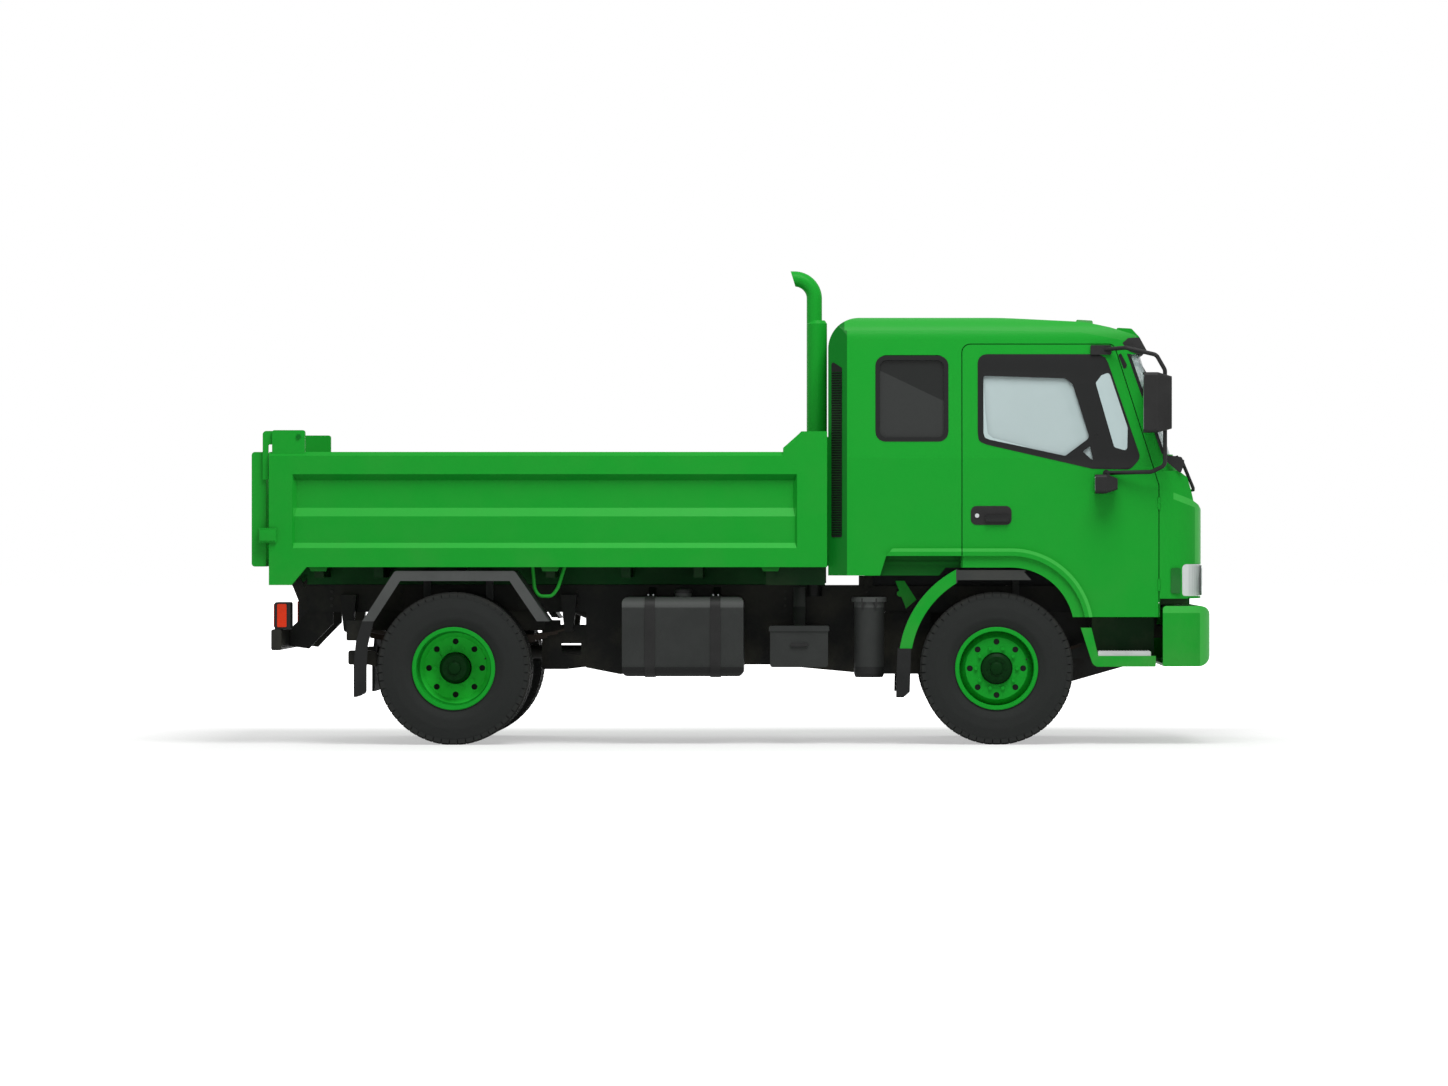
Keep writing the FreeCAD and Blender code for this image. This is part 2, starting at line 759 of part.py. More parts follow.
def exhaust_stack():
    """An upright silencer pipe between bed and cab, bent to the rear at its top."""
    x, y = front_axle_x - 1212, -560
    bend = 133.0
    low = rail_bottom + 107
    high = stack_top - stack_radius
    pipe = tube([(x, y, low), (x, y, high), (x - 200, y, high)], stack_radius, bend)
    bore = tube([(x, y, high - bend - 40), (x, y, high), (x - 230, y, high)], stack_radius - 4, bend)
    # the mouth is cut on the slant, its upper lip the longer
    tip, slant = x - bend, stack_radius + 10
    past = prism(
        "xz",
        [(x - 300, high - slant), (tip + 9, high - slant), (tip - 29, high + slant), (x - 300, high + slant)],
        y - 100,
        y + 100,
    )
    shield = turned(
        [(1250, 0), (1250, 60), (1265, 68), (2808, 68), (2830, 54), (2830, 0)], (x + 17, y, 0), (0, 0, 1)
    )
    arm = box(x - 30, x + 30, y + 20, -rail_y, low, low + 50)
    save("exhaust_stack", fused(pipe.cut(past), shield, arm).cut(bore))


def mudguard_band(corners, thickness, inner_y, outer_y, lip):
    """A sheet guard with a lip that hangs on its outboard side."""
    skin = prism("xz", corners, inner_y, outer_y).cut(
        prism("xz", inset(corners, thickness), inner_y - 1, outer_y + 1)
    )
    edge = prism("xz", corners, outer_y - 12, outer_y).cut(
        prism("xz", inset(corners, lip), outer_y - 13, outer_y + 1)
    )
    return fused(skin, edge)


rear_guard_top = bed_bottom - 26
rear_guard_inner_y = 585.0
rear_guard_outer_y = bed_y - 15


def rear_mudguards():
    base = 819
    corners = [
        (rear_axle_x - 604, base),
        (rear_axle_x - 388, rear_guard_top, 25),
        (rear_axle_x + 407, rear_guard_top, 25),
        (rear_axle_x + 633, base),
    ]
    below = [(rear_axle_x + 633, base - 400), (rear_axle_x - 604, base - 400)]
    keep = box(rear_axle_x - 900, rear_axle_x + 900, 0, 2000, base, 2000)
    guard = mudguard_band(corners + below, 10, rear_guard_inner_y, rear_guard_outer_y, 66).common(keep)
    parts = [guard]
    for x in (rear_axle_x - 240, rear_axle_x + 180):
        parts.append(box(x, x + 50, rail_y, rail_y + 10, rail_bottom + 80, rail_top - 5))
        parts.append(box(x, x + 50, rail_y + 10, rail_y + 30, rail_bottom + 80, rear_guard_top - 5))
        parts.append(
            box(x, x + 50, rail_y + 10, rear_guard_inner_y + 60, rear_guard_top - 40, rear_guard_top - 5)
        )
    save("rear_mudguards", *both(fused(*parts)))


front_guard_inner_y = front_wheel_y - tyre_width / 2 + 10
front_guard_outer_y = cab_y - 10


def front_mudguards():
    cx, cz = front_axle_x + 61, 531.0
    outer, inner, skin = 712.0, 632.0, 10.0
    low, high = front_guard_inner_y, front_guard_outer_y
    top = 1158.0

    def ring(big, small, y0, y1):
        whole = rod((cx, y0, cz), (cx, y1, cz), big).cut(rod((cx, y0, cz), (cx, y1, cz), small))
        return whole.common(box(cx - 900, cx - 323, y0, y1, 639, top + 7))

    strip = [ring(outer, inner, high - 12, high), ring(outer, outer - skin, low, high)]
    start, end = cx - 330, front_axle_x + 230
    roof = box(start, end - 40, low, high, top - skin, top)
    edge = prism(
        "xz", [(start, 1092), (end, 1092), (end - 60, top), (start, top)], high - 12, high
    )
    stay_x = front_axle_x - 640
    stay = rod((stay_x, rail_y, 1000), (stay_x, low + 8, 1000), 20)
    blade = prism(
        "xz",
        [
            (stay_x - 30, 1085),
            (stay_x + 30, 1085),
            (stay_x + 110, 960),
            (stay_x + 40, 900),
        ],
        low - 6,
        low + 8,
    )
    post = box(front_axle_x + 120, front_axle_x + 165, rail_y, rail_y + 22, rail_bottom + 60, top - 5)
    arm = box(front_axle_x + 120, front_axle_x + 165, rail_y, low + 20, top - 40, top - 5)
    save("front_mudguards", *both(fused(*strip, roof, edge, stay, blade, post, arm)))


def mud_flaps():
    flaps = []
    low, high = front_guard_inner_y, front_guard_outer_y
    x = front_axle_x - 666
    side = [(x, 314), (x + 8, 638.9), (x + 93, 638.9), (x + 52, 314)]
    flaps += both(fused(prism("xz", side, high - 12, high), prism("xz", side[:2] + [(x + 26, 638.9), (x + 18, 314)], low, high)))
    x = rear_axle_x - 660
    low, high = rear_guard_inner_y, rear_guard_outer_y
    rear_edge = [(x, 317), (x, 530), (x + 15, 688), (x + 57, 818.9)]
    side = rear_edge + [(x + 132, 818.9), (x + 94, 658), (x + 86, 506), (x + 86, 345, 25), (x + 30, 320)]
    sheet = rear_edge + [(x + 75, 818.9), (x + 33, 688), (x + 18, 530), (x + 18, 317)]
    flaps += both(fused(prism("xz", side, high - 12, high), prism("xz", sheet, low, high)))
    save("mud_flaps", *flaps)


bar_rear, bar_front = rear_end + 128, rear_end + 195
bar_bottom, bar_top = 626.0, 765.0


def rear_underrun_bar():
    bar = prism(
        "xz",
        [(bar_rear, bar_bottom, 14), (bar_front, bar_bottom, 14), (bar_front, bar_top, 14), (bar_rear, bar_top, 14)],
        -bed_y + 70,
        bed_y - 70,
    )
    leg = prism(
        "xz",
        from_rear(
            [
                (180, bar_bottom + 20),
                (325, bar_bottom),
                (396, 701),
                (487, 794),
                (487, rail_bottom),
                (rail_rear - rear_end + 5, rail_bottom),
                (180, bar_top - 20),
            ]
        ),
        rail_y - 60,
        rail_y - 30,
    )
    save("rear_underrun_bar", fused(bar, *both(leg)))


def tail_lamps():
    low, high = bed_y - 290, bed_y - 90
    x0, x1 = rear_end + 149, rear_end + 254
    housing = prism("xz", [(x0, bar_top, 6), (x1, bar_top, 6), (x1, 945, 12), (x0, 945, 12)], low, high)
    side_lens = prism(
        "xz", from_rear([(167, 780, 8), (229, 780, 8), (229, 933, 8), (167, 933, 8)]), high - 1, high + 8
    )
    rear_lens = prism("yz", [(low + 15, 780, 8), (high - 15, 780, 8), (high - 15, 933, 8), (low + 15, 933, 8)], x0 - 7, x0 + 1)
    save("tail_lamps", *both(fused(housing, side_lens, rear_lens)))


def front_bumper():
    bottom, top, back = 520.0, 920.0, front_end - 320
    side = [(back, bottom, 10), (front_end, bottom, 80), (front_end, top, 65), (back, top, 25)]
    half = bed_y - 5
    plan = [(back - 50, -half), (front_end, -half, 200), (front_end, half, 200), (back - 50, half)]
    skin = 20.0

    def solid(depth):
        hull = prism("xz", inset(side, depth), -half + depth, half - depth)
        return hull.common(prism("xy", inset(plan, depth), bottom - 50, top + 50))

    hollow = solid(skin).fuse(box(back - 5, back + 60, -half + skin, half - skin, bottom + skin, top - skin))
    save("front_bumper", solid(0).cut(hollow))


step_top, step_bottom = 589.0, 518.0


def cab_steps():
    outer_y, inner_y = cab_y, 860.0
    frame = prism(
        "xz",
        from_axle(
            [
                (556, 776),
                (626, 776),
                (672, step_top),
                (1053, step_top),
                (1053, step_bottom, 12),
                (640, step_bottom, 50),
            ]
        ),
        outer_y - 30,
        outer_y,
    )
    pan = box(front_axle_x + 660, front_axle_x + 1053, inner_y, outer_y - 15, step_bottom, step_top)
    tread = box(front_axle_x + 669, front_axle_x + 1022, inner_y + 20, outer_y - 8, step_top - 2, step_top + 29)
    panel = box(front_axle_x + 640, front_axle_x + 1053, inner_y - 14, inner_y, step_bottom, 838)
    arm = prism(
        "yz",
        [(rail_y, 1000), (rail_y, 885), (inner_y - 10, 680), (inner_y - 10, 770), (rail_y + 60, 905)],
        front_axle_x + 820,
        front_axle_x + 860,
    )
    save("cab_steps", *both(fused(frame, pan, tread, panel, arm)))


# Cab

arch_x, arch_z = front_axle_x + 93, 754.0
arch_radius = 421.0
flare_radius, flare_band, flare_proud = 548.0, 50.0, 26.0
sill_z = 847.0
belt_z = 1816.3
nose_radius = 250.0
pillar_radius = 150.0
windscreen_foot = (1204.6, belt_z)
windscreen_head = (930.0, 2715.0)
windscreen_lean = (windscreen_head[0] - windscreen_foot[0]) / (windscreen_head[1] - windscreen_foot[1])
nose_x = 1362.0
SIDE_CORNERS = from_axle(
    [
        (-1118, 700),
        (-1118, cab_roof, 210),
        (23, cab_roof, 3000),
        (586, cab_roof - 30, 600),
        (752, cab_roof - 66, 400),
        windscreen_head + (40,),
        windscreen_foot + (10,),
        (1263, 1775, 20),
        (nose_x, 1561, 30),
        (nose_x, 700),
    ]
)
NOSE_STEP = from_axle([(1263, 1775), (1291, 1685), (1307, 1617, 8), (1342, 1593, 12), (nose_x, 1561, 12), (1500, 1561), (1500, 1775)])
overlap = 1.0  # how far each outline stands past the one it crosses
FRONT_CORNERS = [
    (-cab_y, 600),
    (-cab_y, 1900),
    (70 - cab_y, cab_roof + overlap, 160),
    (cab_y - 70, cab_roof + overlap, 160),
    (cab_y, 1900),
    (cab_y, 600),
]


def arc_corner(radius, z):
    """Where a wheel arch's arc of this radius, level at its top, has its corner and its end at height z."""
    drop = z - arch_z
    reach = math.sqrt(radius**2 - drop**2)
    top = arch_z + radius
    slope = drop / reach
    return (arch_x + reach - slope * (top - z), top, radius), (arch_x + reach, z)


def cab_solid(depth):
    """The cab's closed body, with its skin moved inwards by depth and its bottom well below the floor."""
    side = prism("xz", inset(SIDE_CORNERS, depth), -2000, 2000)
    front = prism("yz", inset(FRONT_CORNERS, depth), cab_back - 100, front_end + 100)
    body = side.common(front)
    for x, radius, low, rise, lean in (
        (nose_x, nose_radius, 500, belt_z - 500, 0),
        (windscreen_foot[0], pillar_radius, belt_z, 1500, windscreen_lean * 1500),
    ):
        half = cab_y + overlap
        start, end = cab_back - 700, front_axle_x + x + overlap
        plan = [(start, -half), (end, -half, radius), (end, half, radius), (start, half)]
        keep = prism("xy", inset(plan, depth), low, 0, shear=V(lean, 0, rise))
        rest = box(-5000, 5000, -3000, 3000, 0, belt_z) if low == belt_z else box(-5000, 5000, -3000, 3000, belt_z, 5000)
        body = body.common(keep.fuse(rest))
    # the rear corners are taken off, in line with the sides, which lean in above z 1900
    slope = corner_width / corner_length
    reach = math.sqrt(1 + slope**2)
    shift_x, shift_y = depth * slope / reach, depth / reach
    x0, x1 = cab_back - 3 * corner_length, cab_back + 4 * corner_length
    y0, y1 = cab_y - 4 * corner_width, cab_y + 3 * corner_width
    wedge = [(x0 + shift_x, y0 - shift_y), (x1 + shift_x, y1 - shift_y), (x0 + shift_x, y1 - shift_y)]
    side_lean = 70 / (cab_roof + overlap - 1900)
    off = prism("xy", wedge, 0, 1900).fuse(prism("xy", wedge, 1900, 0, shear=V(0, -side_lean * 1400, 1400)))
    return body.cut(off).cut(mirrored(off))


def wheel_arch_cut():
    """What is taken away under the cab: the level bottoms, the wheel arches and the dip ahead of the doors."""
    arch_corner, arch_end = arc_corner(arch_radius, sill_z)
    flare_under = arch_z + flare_radius - flare_band
    corners = from_axle([(-1300, 600), (-1300, 1122), (-774, 1122), (-733, flare_under), (-237, flare_under)])
    corners += [(front_axle_x - 237, arch_z + arch_radius), arch_corner, arch_end]
    corners += from_axle([(1080, sill_z), (1080, 969), (1600, 969), (1600, 600)])
    return prism("xz", corners, -2000, 2000)


def flares():
    """The proud bands round the wheel arches."""
    outer_corner, outer_end = arc_corner(flare_radius, sill_z)
    inner_corner, inner_end = arc_corner(flare_radius - flare_band, sill_z)
    top = arch_z + flare_radius
    corners = from_axle([(-733, top - flare_band), (-690, top)])
    corners += [outer_corner, outer_end, inner_end, inner_corner]
    band = prism("xz", corners, cab_y - 20, cab_y + flare_proud)
    return both(band)


DOOR_CORNERS = from_axle([(-234, 600), (-234, 2660, 60), (780, 2660, 50), (1077, 1722, 40), (1077, 600)])
WINDOW_CORNERS = from_axle(
    [(-97, 2013, 60), (-129, 2590, 60), (692, 2590, 120), (951, 1900, 60), (925, 1828, 50), (640, 1828, 80)]
)
SLEEPER_WINDOW = from_axle([(-789, 2025, 57), (-336, 2025, 57), (-336, 2584, 57), (-789, 2584, 57)])
WINDSCREEN = from_axle([(884, 2590), (1113, 1925), (1600, 1925), (1600, 2590)])
window_frame = 30.0
hinge_radius = 9.0
hinge_pin_radius = 4.0
HINGE_HEIGHTS = (1020.0, 1560.0)
hinge_length = 40.0


def cab():
    closed = cab_solid(0)
    inside = cab_solid(cab_wall)
    plain = closed.cut(prism("xz", NOSE_STEP, -2000, 2000)).cut(wheel_arch_cut())
    walls = plain.fuse(flares()).cut(wheel_arch_cut()).cut(inside)
    pane_layer = cab_solid(glass_depth).cut(cab_solid(glass_depth + glass_thickness))

    door_opening = prism("xz", DOOR_CORNERS, cab_y - 220, cab_y + 100)
    door_block = prism("xz", inset(DOOR_CORNERS, door_gap), cab_y - 220, cab_y + 100)
    window = prism("xz", inset(WINDOW_CORNERS, window_frame), cab_y - 220, cab_y + 100)
    sleeper = prism("xz", SLEEPER_WINDOW, cab_y - 220, cab_y + 100)
    screen = prism("xz", WINDSCREEN, -2000, 2000)
    pane_screen = prism("xz", inset(WINDSCREEN, seat_gap), -2000, 2000)

    door = walls.common(door_block).cut(window)
    pane_window = prism("xz", inset(WINDOW_CORNERS, window_frame + seat_gap), cab_y - 220, cab_y + 100)
    pane_sleeper = prism("xz", inset(SLEEPER_WINDOW, seat_gap), cab_y - 220, cab_y + 100)
    door_glass = pane_layer.common(pane_window)
    panes = [pane_layer.common(pane_screen)] + both(pane_layer.common(pane_sleeper))
    shell = walls.cut(screen)
    for cutter in (door_opening, sleeper):
        shell = shell.cut(cutter).cut(mirrored(cutter))

    # the front panel with its lamps comes away below the windscreen
    panel_back = front_axle_x + 1123
    panel_zone = box(panel_back, front_end + 50, -2000, 2000, 600, belt_z + 30)
    panel = plain.cut(inside).common(panel_zone)
    shell = shell.cut(panel_zone)
    lamp_corners = from_axle([(1229, 986, 20), (1500, 986), (1500, 1197), (1229, 1197, 30)])
    lamp_zone = prism("xz", lamp_corners, 800, cab_y + 50)
    lamp_body = prism("xz", inset(lamp_corners, seat_gap), 800 + seat_gap, cab_y + 50)
    headlamps = both(panel.common(lamp_body))
    panel = panel.cut(lamp_zone).cut(mirrored(lamp_zone))

    # door hinges: a knuckle on the pillar and one on the door, turning on the door's pin
    seam_x = front_axle_x + 1077 - door_gap / 2
    for z in HINGE_HEIGHTS:
        low, middle, high = z, z + hinge_length, z + 2 * hinge_length
        door_knuckle = rod((seam_x, cab_y, low), (seam_x, cab_y, middle - 0.5), hinge_radius)
        pin = rod((seam_x, cab_y, low), (seam_x, cab_y, high), hinge_pin_radius)
        pillar_knuckle = rod((seam_x, cab_y, middle), (seam_x, cab_y, high), hinge_radius)
        room = hinge_radius + 0.6
        door = door.cut(rod((seam_x, cab_y, middle - 0.5), (seam_x, cab_y, high + 0.5), room))
        door = door.fuse([door_knuckle, pin])
        hole = rod((seam_x, cab_y, middle - 1), (seam_x, cab_y, high + 1), hinge_pin_radius + shaft_fit)
        for turn in (lambda s: s, mirrored):
            shell = shell.cut(turn(rod((seam_x, cab_y, low - 0.5), (seam_x, cab_y, middle), room)))
            shell = shell.fuse(turn(pillar_knuckle)).cut(turn(hole))
    door = door.removeSplitter()

    save("cab_shell", shell.removeSplitter())
    save("front_panel", panel)
    save("cab_glass", *panes)
    for side, turn in (("left", lambda s: s), ("right", mirrored)):
        save(f"{side}_door", turn(door))
        save(f"{side}_door_glass", turn(door_glass))

    skin = cab_solid(-seat_gap)
    marker = prism("xz", from_axle([(533, 2700), (533, 2826, 12), (645, 2820, 12), (645, 2700)]), -55, 55)
    markers = []
    for y in (-800, -400, 0, 400, 800):
        markers.append(marker.translated(V(0, y, 0)).cut(skin))
    save("cab_lamps", *headlamps, *markers)

    visor = prism(
        "xz",
        from_axle([(800, 2700), (800, 2768, 10), (898, 2763, 25), (951, 2706, 15), (991, 2608, 8), (960, 2572), (880, 2640)]),
        -980,
        980,
    ).cut(skin)
    save("sun_visor", *(s for s in visor.Solids if s.Volume > 1e5))

    cowl = prism(
        "xz", from_axle([(1100, 1921), (1253, 1890, 8), (1243, 1845), (1100, 1845)]), -930, 930
    ).cut(skin)
    bar_path = [
        (front_axle_x + 1240, -860, 1880),
        (front_axle_x + 1318, -860, 1690),
        (front_axle_x + 1318, 860, 1690),
        (front_axle_x + 1240, 860, 1880),
    ]
    save("cowl_bar", fused(max(cowl.Solids, key=lambda s: s.Volume), tube(bar_path, 9, 30)))


def cab_floor():
    """Floor with an engine cover, a step well inside each door, sills and the ears of the tilting pins."""
    top = floor_z + floor_thickness
    inside = cab_solid(cab_wall + seat_gap)
    slab = inside.common(box(cab_back, front_end, -2000, 2000, floor_z, top))
    well_rear, well_front, well_inner, well_bottom = front_axle_x + 540, front_axle_x + 1060, 760.0, 870.0
    wall = 15.0
    door_edge = cab_y - cab_wall - 6
    door_strip = box(front_axle_x - 250, front_axle_x + 1090, door_edge, 2000, floor_z - 1, top + 1)
    well = box(well_rear, well_front, well_inner, door_edge, well_bottom, top)
    well_hole = box(well_rear + wall, well_front - wall, well_inner + wall, door_edge + 1, well_bottom + wall, top + 1)
    cover_rear, cover_front, cover_y, cover_top = front_axle_x - 150, front_axle_x + 840, 340.0, 1400.0
    cover = prism(
        "yz",
        [(-cover_y, floor_z), (-cover_y, cover_top, 60), (cover_y, cover_top, 60), (cover_y, floor_z)],
        cover_rear,
        cover_front,
    )
    cover_hole = prism(
        "yz",
        [
            (-cover_y + 20, floor_z - 1),
            (-cover_y + 20, cover_top - 20, 40),
            (cover_y - 20, cover_top - 20, 40),
            (cover_y - 20, floor_z - 1),
        ],
        cover_rear + 20,
        cover_front - 20,
    )
    floor = slab
    for turn in (lambda s: s, mirrored):
        floor = floor.cut(turn(door_strip)).fuse(turn(well)).cut(turn(well_hole))
    floor = floor.fuse(cover).cut(cover_hole)
    sill = box(cab_back + cab_wall + 8, cab_pin_x, rail_inner_y + 2, rail_y - 12, floor_z - 70, floor_z)
    deep_sill = box(cab_back + 270, cab_pin_x - 150, rail_inner_y + 2, rail_y - 12, rail_top + 5, floor_z - 69)
    # closes the gap between the floor and the raised lower edge of the cab's side
    side_plate = prism(
        "xz",
        from_axle([(-790, 1122), (-380, 1122), (-340, 1174), (-236, 1174), (-236, 1300), (-790, 1300)]),
        door_edge - 19,
        door_edge - 4,
    )
    ear_outer = rail_y - 35
    ear = fused(
        prism(
            "xz",
            [(cab_pin_x - 70, floor_z), (cab_pin_x + 24, floor_z), (cab_pin_x + 24, cab_pin_z), (cab_pin_x - 24, cab_pin_z)],
            ear_outer - 20,
            ear_outer,
        ),
        rod((cab_pin_x, ear_outer - 20, cab_pin_z), (cab_pin_x, ear_outer, cab_pin_z), 25),
        rod((cab_pin_x, ear_outer - 20, cab_pin_z), (cab_pin_x, rail_y - rail_web + 3, cab_pin_z), 15),
    )
    pedestals = [
        box(front_axle_x - 130, front_axle_x + 330, y - 200, y + 200, top - 1, 1480) for y in (-640, 640)
    ]
    save("cab_floor", fused(floor, *both(sill), *both(deep_sill), *both(side_plate), *both(ear), *pedestals))


def cab_inside():
    """Seats, dashboard with its steering column, and the steering wheel."""
    seat_profile = [
        (-150, 1480),
        (380, 1480, 40),
        (390, 1600, 45),
        (-20, 1585, 30),
        (-130, 2180, 40),
        (-240, 2180, 40),
    ]
    seats = []
    for y in (-640, 640):
        seat = prism("xz", from_axle(seat_profile), y - 245, y + 245)
        head = prism(
            "xz", from_axle([(-235, 2170), (-120, 2170, 10), (-145, 2370, 35), (-235, 2370, 35)]), y - 130, y + 130
        )
        seats.append(fused(seat, head))
    save("seats", *seats)
    panel = prism(
        "xz",
        from_axle([(800, 1480), (770, 1740, 60), (850, 1870, 60), (1070, 1870), (1070, 1805), (1112, 1805), (1112, 1480)]),
        -cab_y + cab_wall + 10,
        cab_y - cab_wall - 10,
    ).common(cab_solid(cab_wall + seat_gap))
    lean = math.radians(37)
    axis = V(-math.sin(lean), 0, math.cos(lean))
    centre = V(front_axle_x + 450, 640, 1912)
    column = rod(tuple(centre - axis * 350), tuple(centre - axis * 40), 34)
    foot = rod(tuple(centre - axis * 330), (front_axle_x + 860, 640, 1620), 34)
    wing = cab_y - cab_wall - seat_gap
    support = box(front_axle_x + 1086, front_axle_x + 1112, -wing, wing, 1500, 1700)
    save("dashboard", fused(panel, support, column, foot))
    grip = Part.makeTorus(222, 15, centre, axis)
    hub = Part.makeCylinder(42, 52, centre - axis * 39.7, axis)
    spokes = [
        rod(tuple(centre), tuple(centre + (V(0, 1, 0) * math.cos(a) + axis.cross(V(0, 1, 0)) * math.sin(a)) * 220), 11)
        for a in (math.radians(-90), math.radians(25), math.radians(155))
    ]
    save("steering_wheel", fused(grip, hub, *spokes))


def mirrors():
    """Main mirror on its bent arm and a wide-angle mirror below, all on the door."""
    skin = cab_y
    out = cab_y + 150
    arm = tube(
        [
            (front_axle_x + 700, skin - 57, 2620),
            (front_axle_x + 850, out - 60, 2629),
            (front_axle_x + 1050, out, 2580),
            (front_axle_x + 1107, out, 2480),
            (front_axle_x + 1107, out, 1850),
            (front_axle_x + 1020, out - 40, 1808),
            (front_axle_x + 720, skin + 20, 1801),
        ],
        14,
        45,
    )
    bracket = prism(
        "xz", from_axle([(621, 2586, 10), (761, 2586, 10), (761, 2650, 10), (621, 2650, 10)]), skin - 75, skin - 30
    )
    foot = rod((front_axle_x + 724, skin - 5, 1801), (front_axle_x + 724, skin + 34, 1801), 22)
    head = loft_head(front_axle_x + 964, front_axle_x + 1150, out, 2066, 2464)
    wide = loft_head(front_axle_x + 646, front_axle_x + 795, skin + 95, 1664, 1790)
    link = rod((front_axle_x + 735, skin + 22, 1801), (front_axle_x + 735, skin + 95, 1770), 12)
    whole = fused(arm, bracket, foot, head, wide, link).cut(cab_solid(-seat_gap))
    save("left_mirrors", whole)
    save("right_mirrors", mirrored(whole))


def loft_head(rear, front, y, low, high):
    """A mirror head: its glass side at the rear, narrower at the front."""
    back_half, front_half = 95.0, 55.0
    middle = (rear + front) / 2
    sections = []
    for x, half, shrink in ((rear, back_half, 0), (middle, back_half, 0), (front, front_half, 26)):
        corners = [
            (y - half, low + shrink, 24),
            (y + half, low + shrink, 24),
            (y + half, high - shrink, 24),
            (y - half, high - shrink, 24),
        ]
        sections.append(outline(corners, PLACES["yz"][0](x)))
    return Part.makeLoft(sections, True, True)


# Bed


def bed_sides():
    top = bed_top
    recess, band = bed_y - 52, bed_y - 28
    chamfer = 26.0
    section = [
        (bed_inner_y, bed_bottom),
        (bed_y, bed_bottom),
        (bed_y, top - chamfer),
        (bed_y - chamfer, top),
        (bed_inner_y, top),
    ]
    wall = prism("yz", section, bed_rear, bed_front)
    pressing = prism(
        "yz",
        [
            (bed_y + 50, bed_bottom + 63),
            (band, bed_bottom + 161),
            (band, bed_bottom + 336),
            (recess, bed_bottom + 393),
            (recess, bed_bottom + 574),
            (bed_y + 50, bed_bottom + 656),
        ],
        bed_rear,
        bed_front,
    )
    x0, x1 = bed_rear + 155, bed_front - 199
    slope = 27.0
    spread = slope * (bed_y + 60 - recess) / (bed_y - recess)
    ends = prism(
        "xy",
        [
            (x0 + slope, recess - 1),
            (x1 - slope, recess - 1),
            (x1 - slope + spread, bed_y + 60),
            (x0 + slope - spread, bed_y + 60),
        ],
        bed_bottom,
        top,
    )
    wall = wall.cut(pressing.common(ends))
    wing = prism(
        "xz",
        [
            (bed_front - 292, top - 60),
            (bed_front - 292, top + 26),
            (bed_front - 192, headboard_top - 21, 10),
            (bed_front - 171, headboard_top, 10),
            (bed_front, headboard_top, 8),
            (bed_front, top - 60),
        ],
        bed_inner_y,
        bed_y,
    )
    foot = prism(
        "xz",
        [
            (bed_rear, bed_bottom + 40),
            (bed_rear, bed_bottom - 119),
            (bed_rear + 149, bed_bottom - 119),
            (bed_rear + 248, bed_bottom),
            (bed_rear + 248, bed_bottom + 40),
        ],
        bed_y - 60,
        bed_y,
    )
    parts = [wall, wing, foot]
    cheek = [
        (gate_pin_x - 175, top - 20),
        (gate_pin_x + 42, top - 20),
        (gate_pin_x + 42, gate_pin_z + 44, 16),
        (gate_pin_x - 175, gate_pin_z + 44, 16),
    ]
    for low, high in GATE_CHEEKS:
        parts.append(prism("xz", cheek, low, high))
    parts.append(
        rod((gate_pin_x, GATE_CHEEKS[0][0], gate_pin_z), (gate_pin_x, GATE_CHEEKS[1][1] + 6, gate_pin_z), 14)
    )
    save("bed_sides", *both(fused(*parts)))


gate_arm_y = bed_y - 58
gate_arm_thickness = 24.0
GATE_CHEEKS = (
    (bed_inner_y + 2, gate_arm_y - 5),
    (gate_arm_y + gate_arm_thickness + 5, bed_y - 12),
)
CROSS_BEARERS = (
    # x, half length
    (rear_end + 444, bed_inner_y - 10),
    (rear_axle_x - 500, bed_inner_y - 10),
    (rear_axle_x + 20, 540),
    (rear_axle_x + 640, bed_inner_y - 10),
    (front_axle_x - 2460, bed_inner_y - 10),
    (front_axle_x - 1980, bed_inner_y - 10),
    (front_axle_x - 1499, bed_inner_y - 10),
)


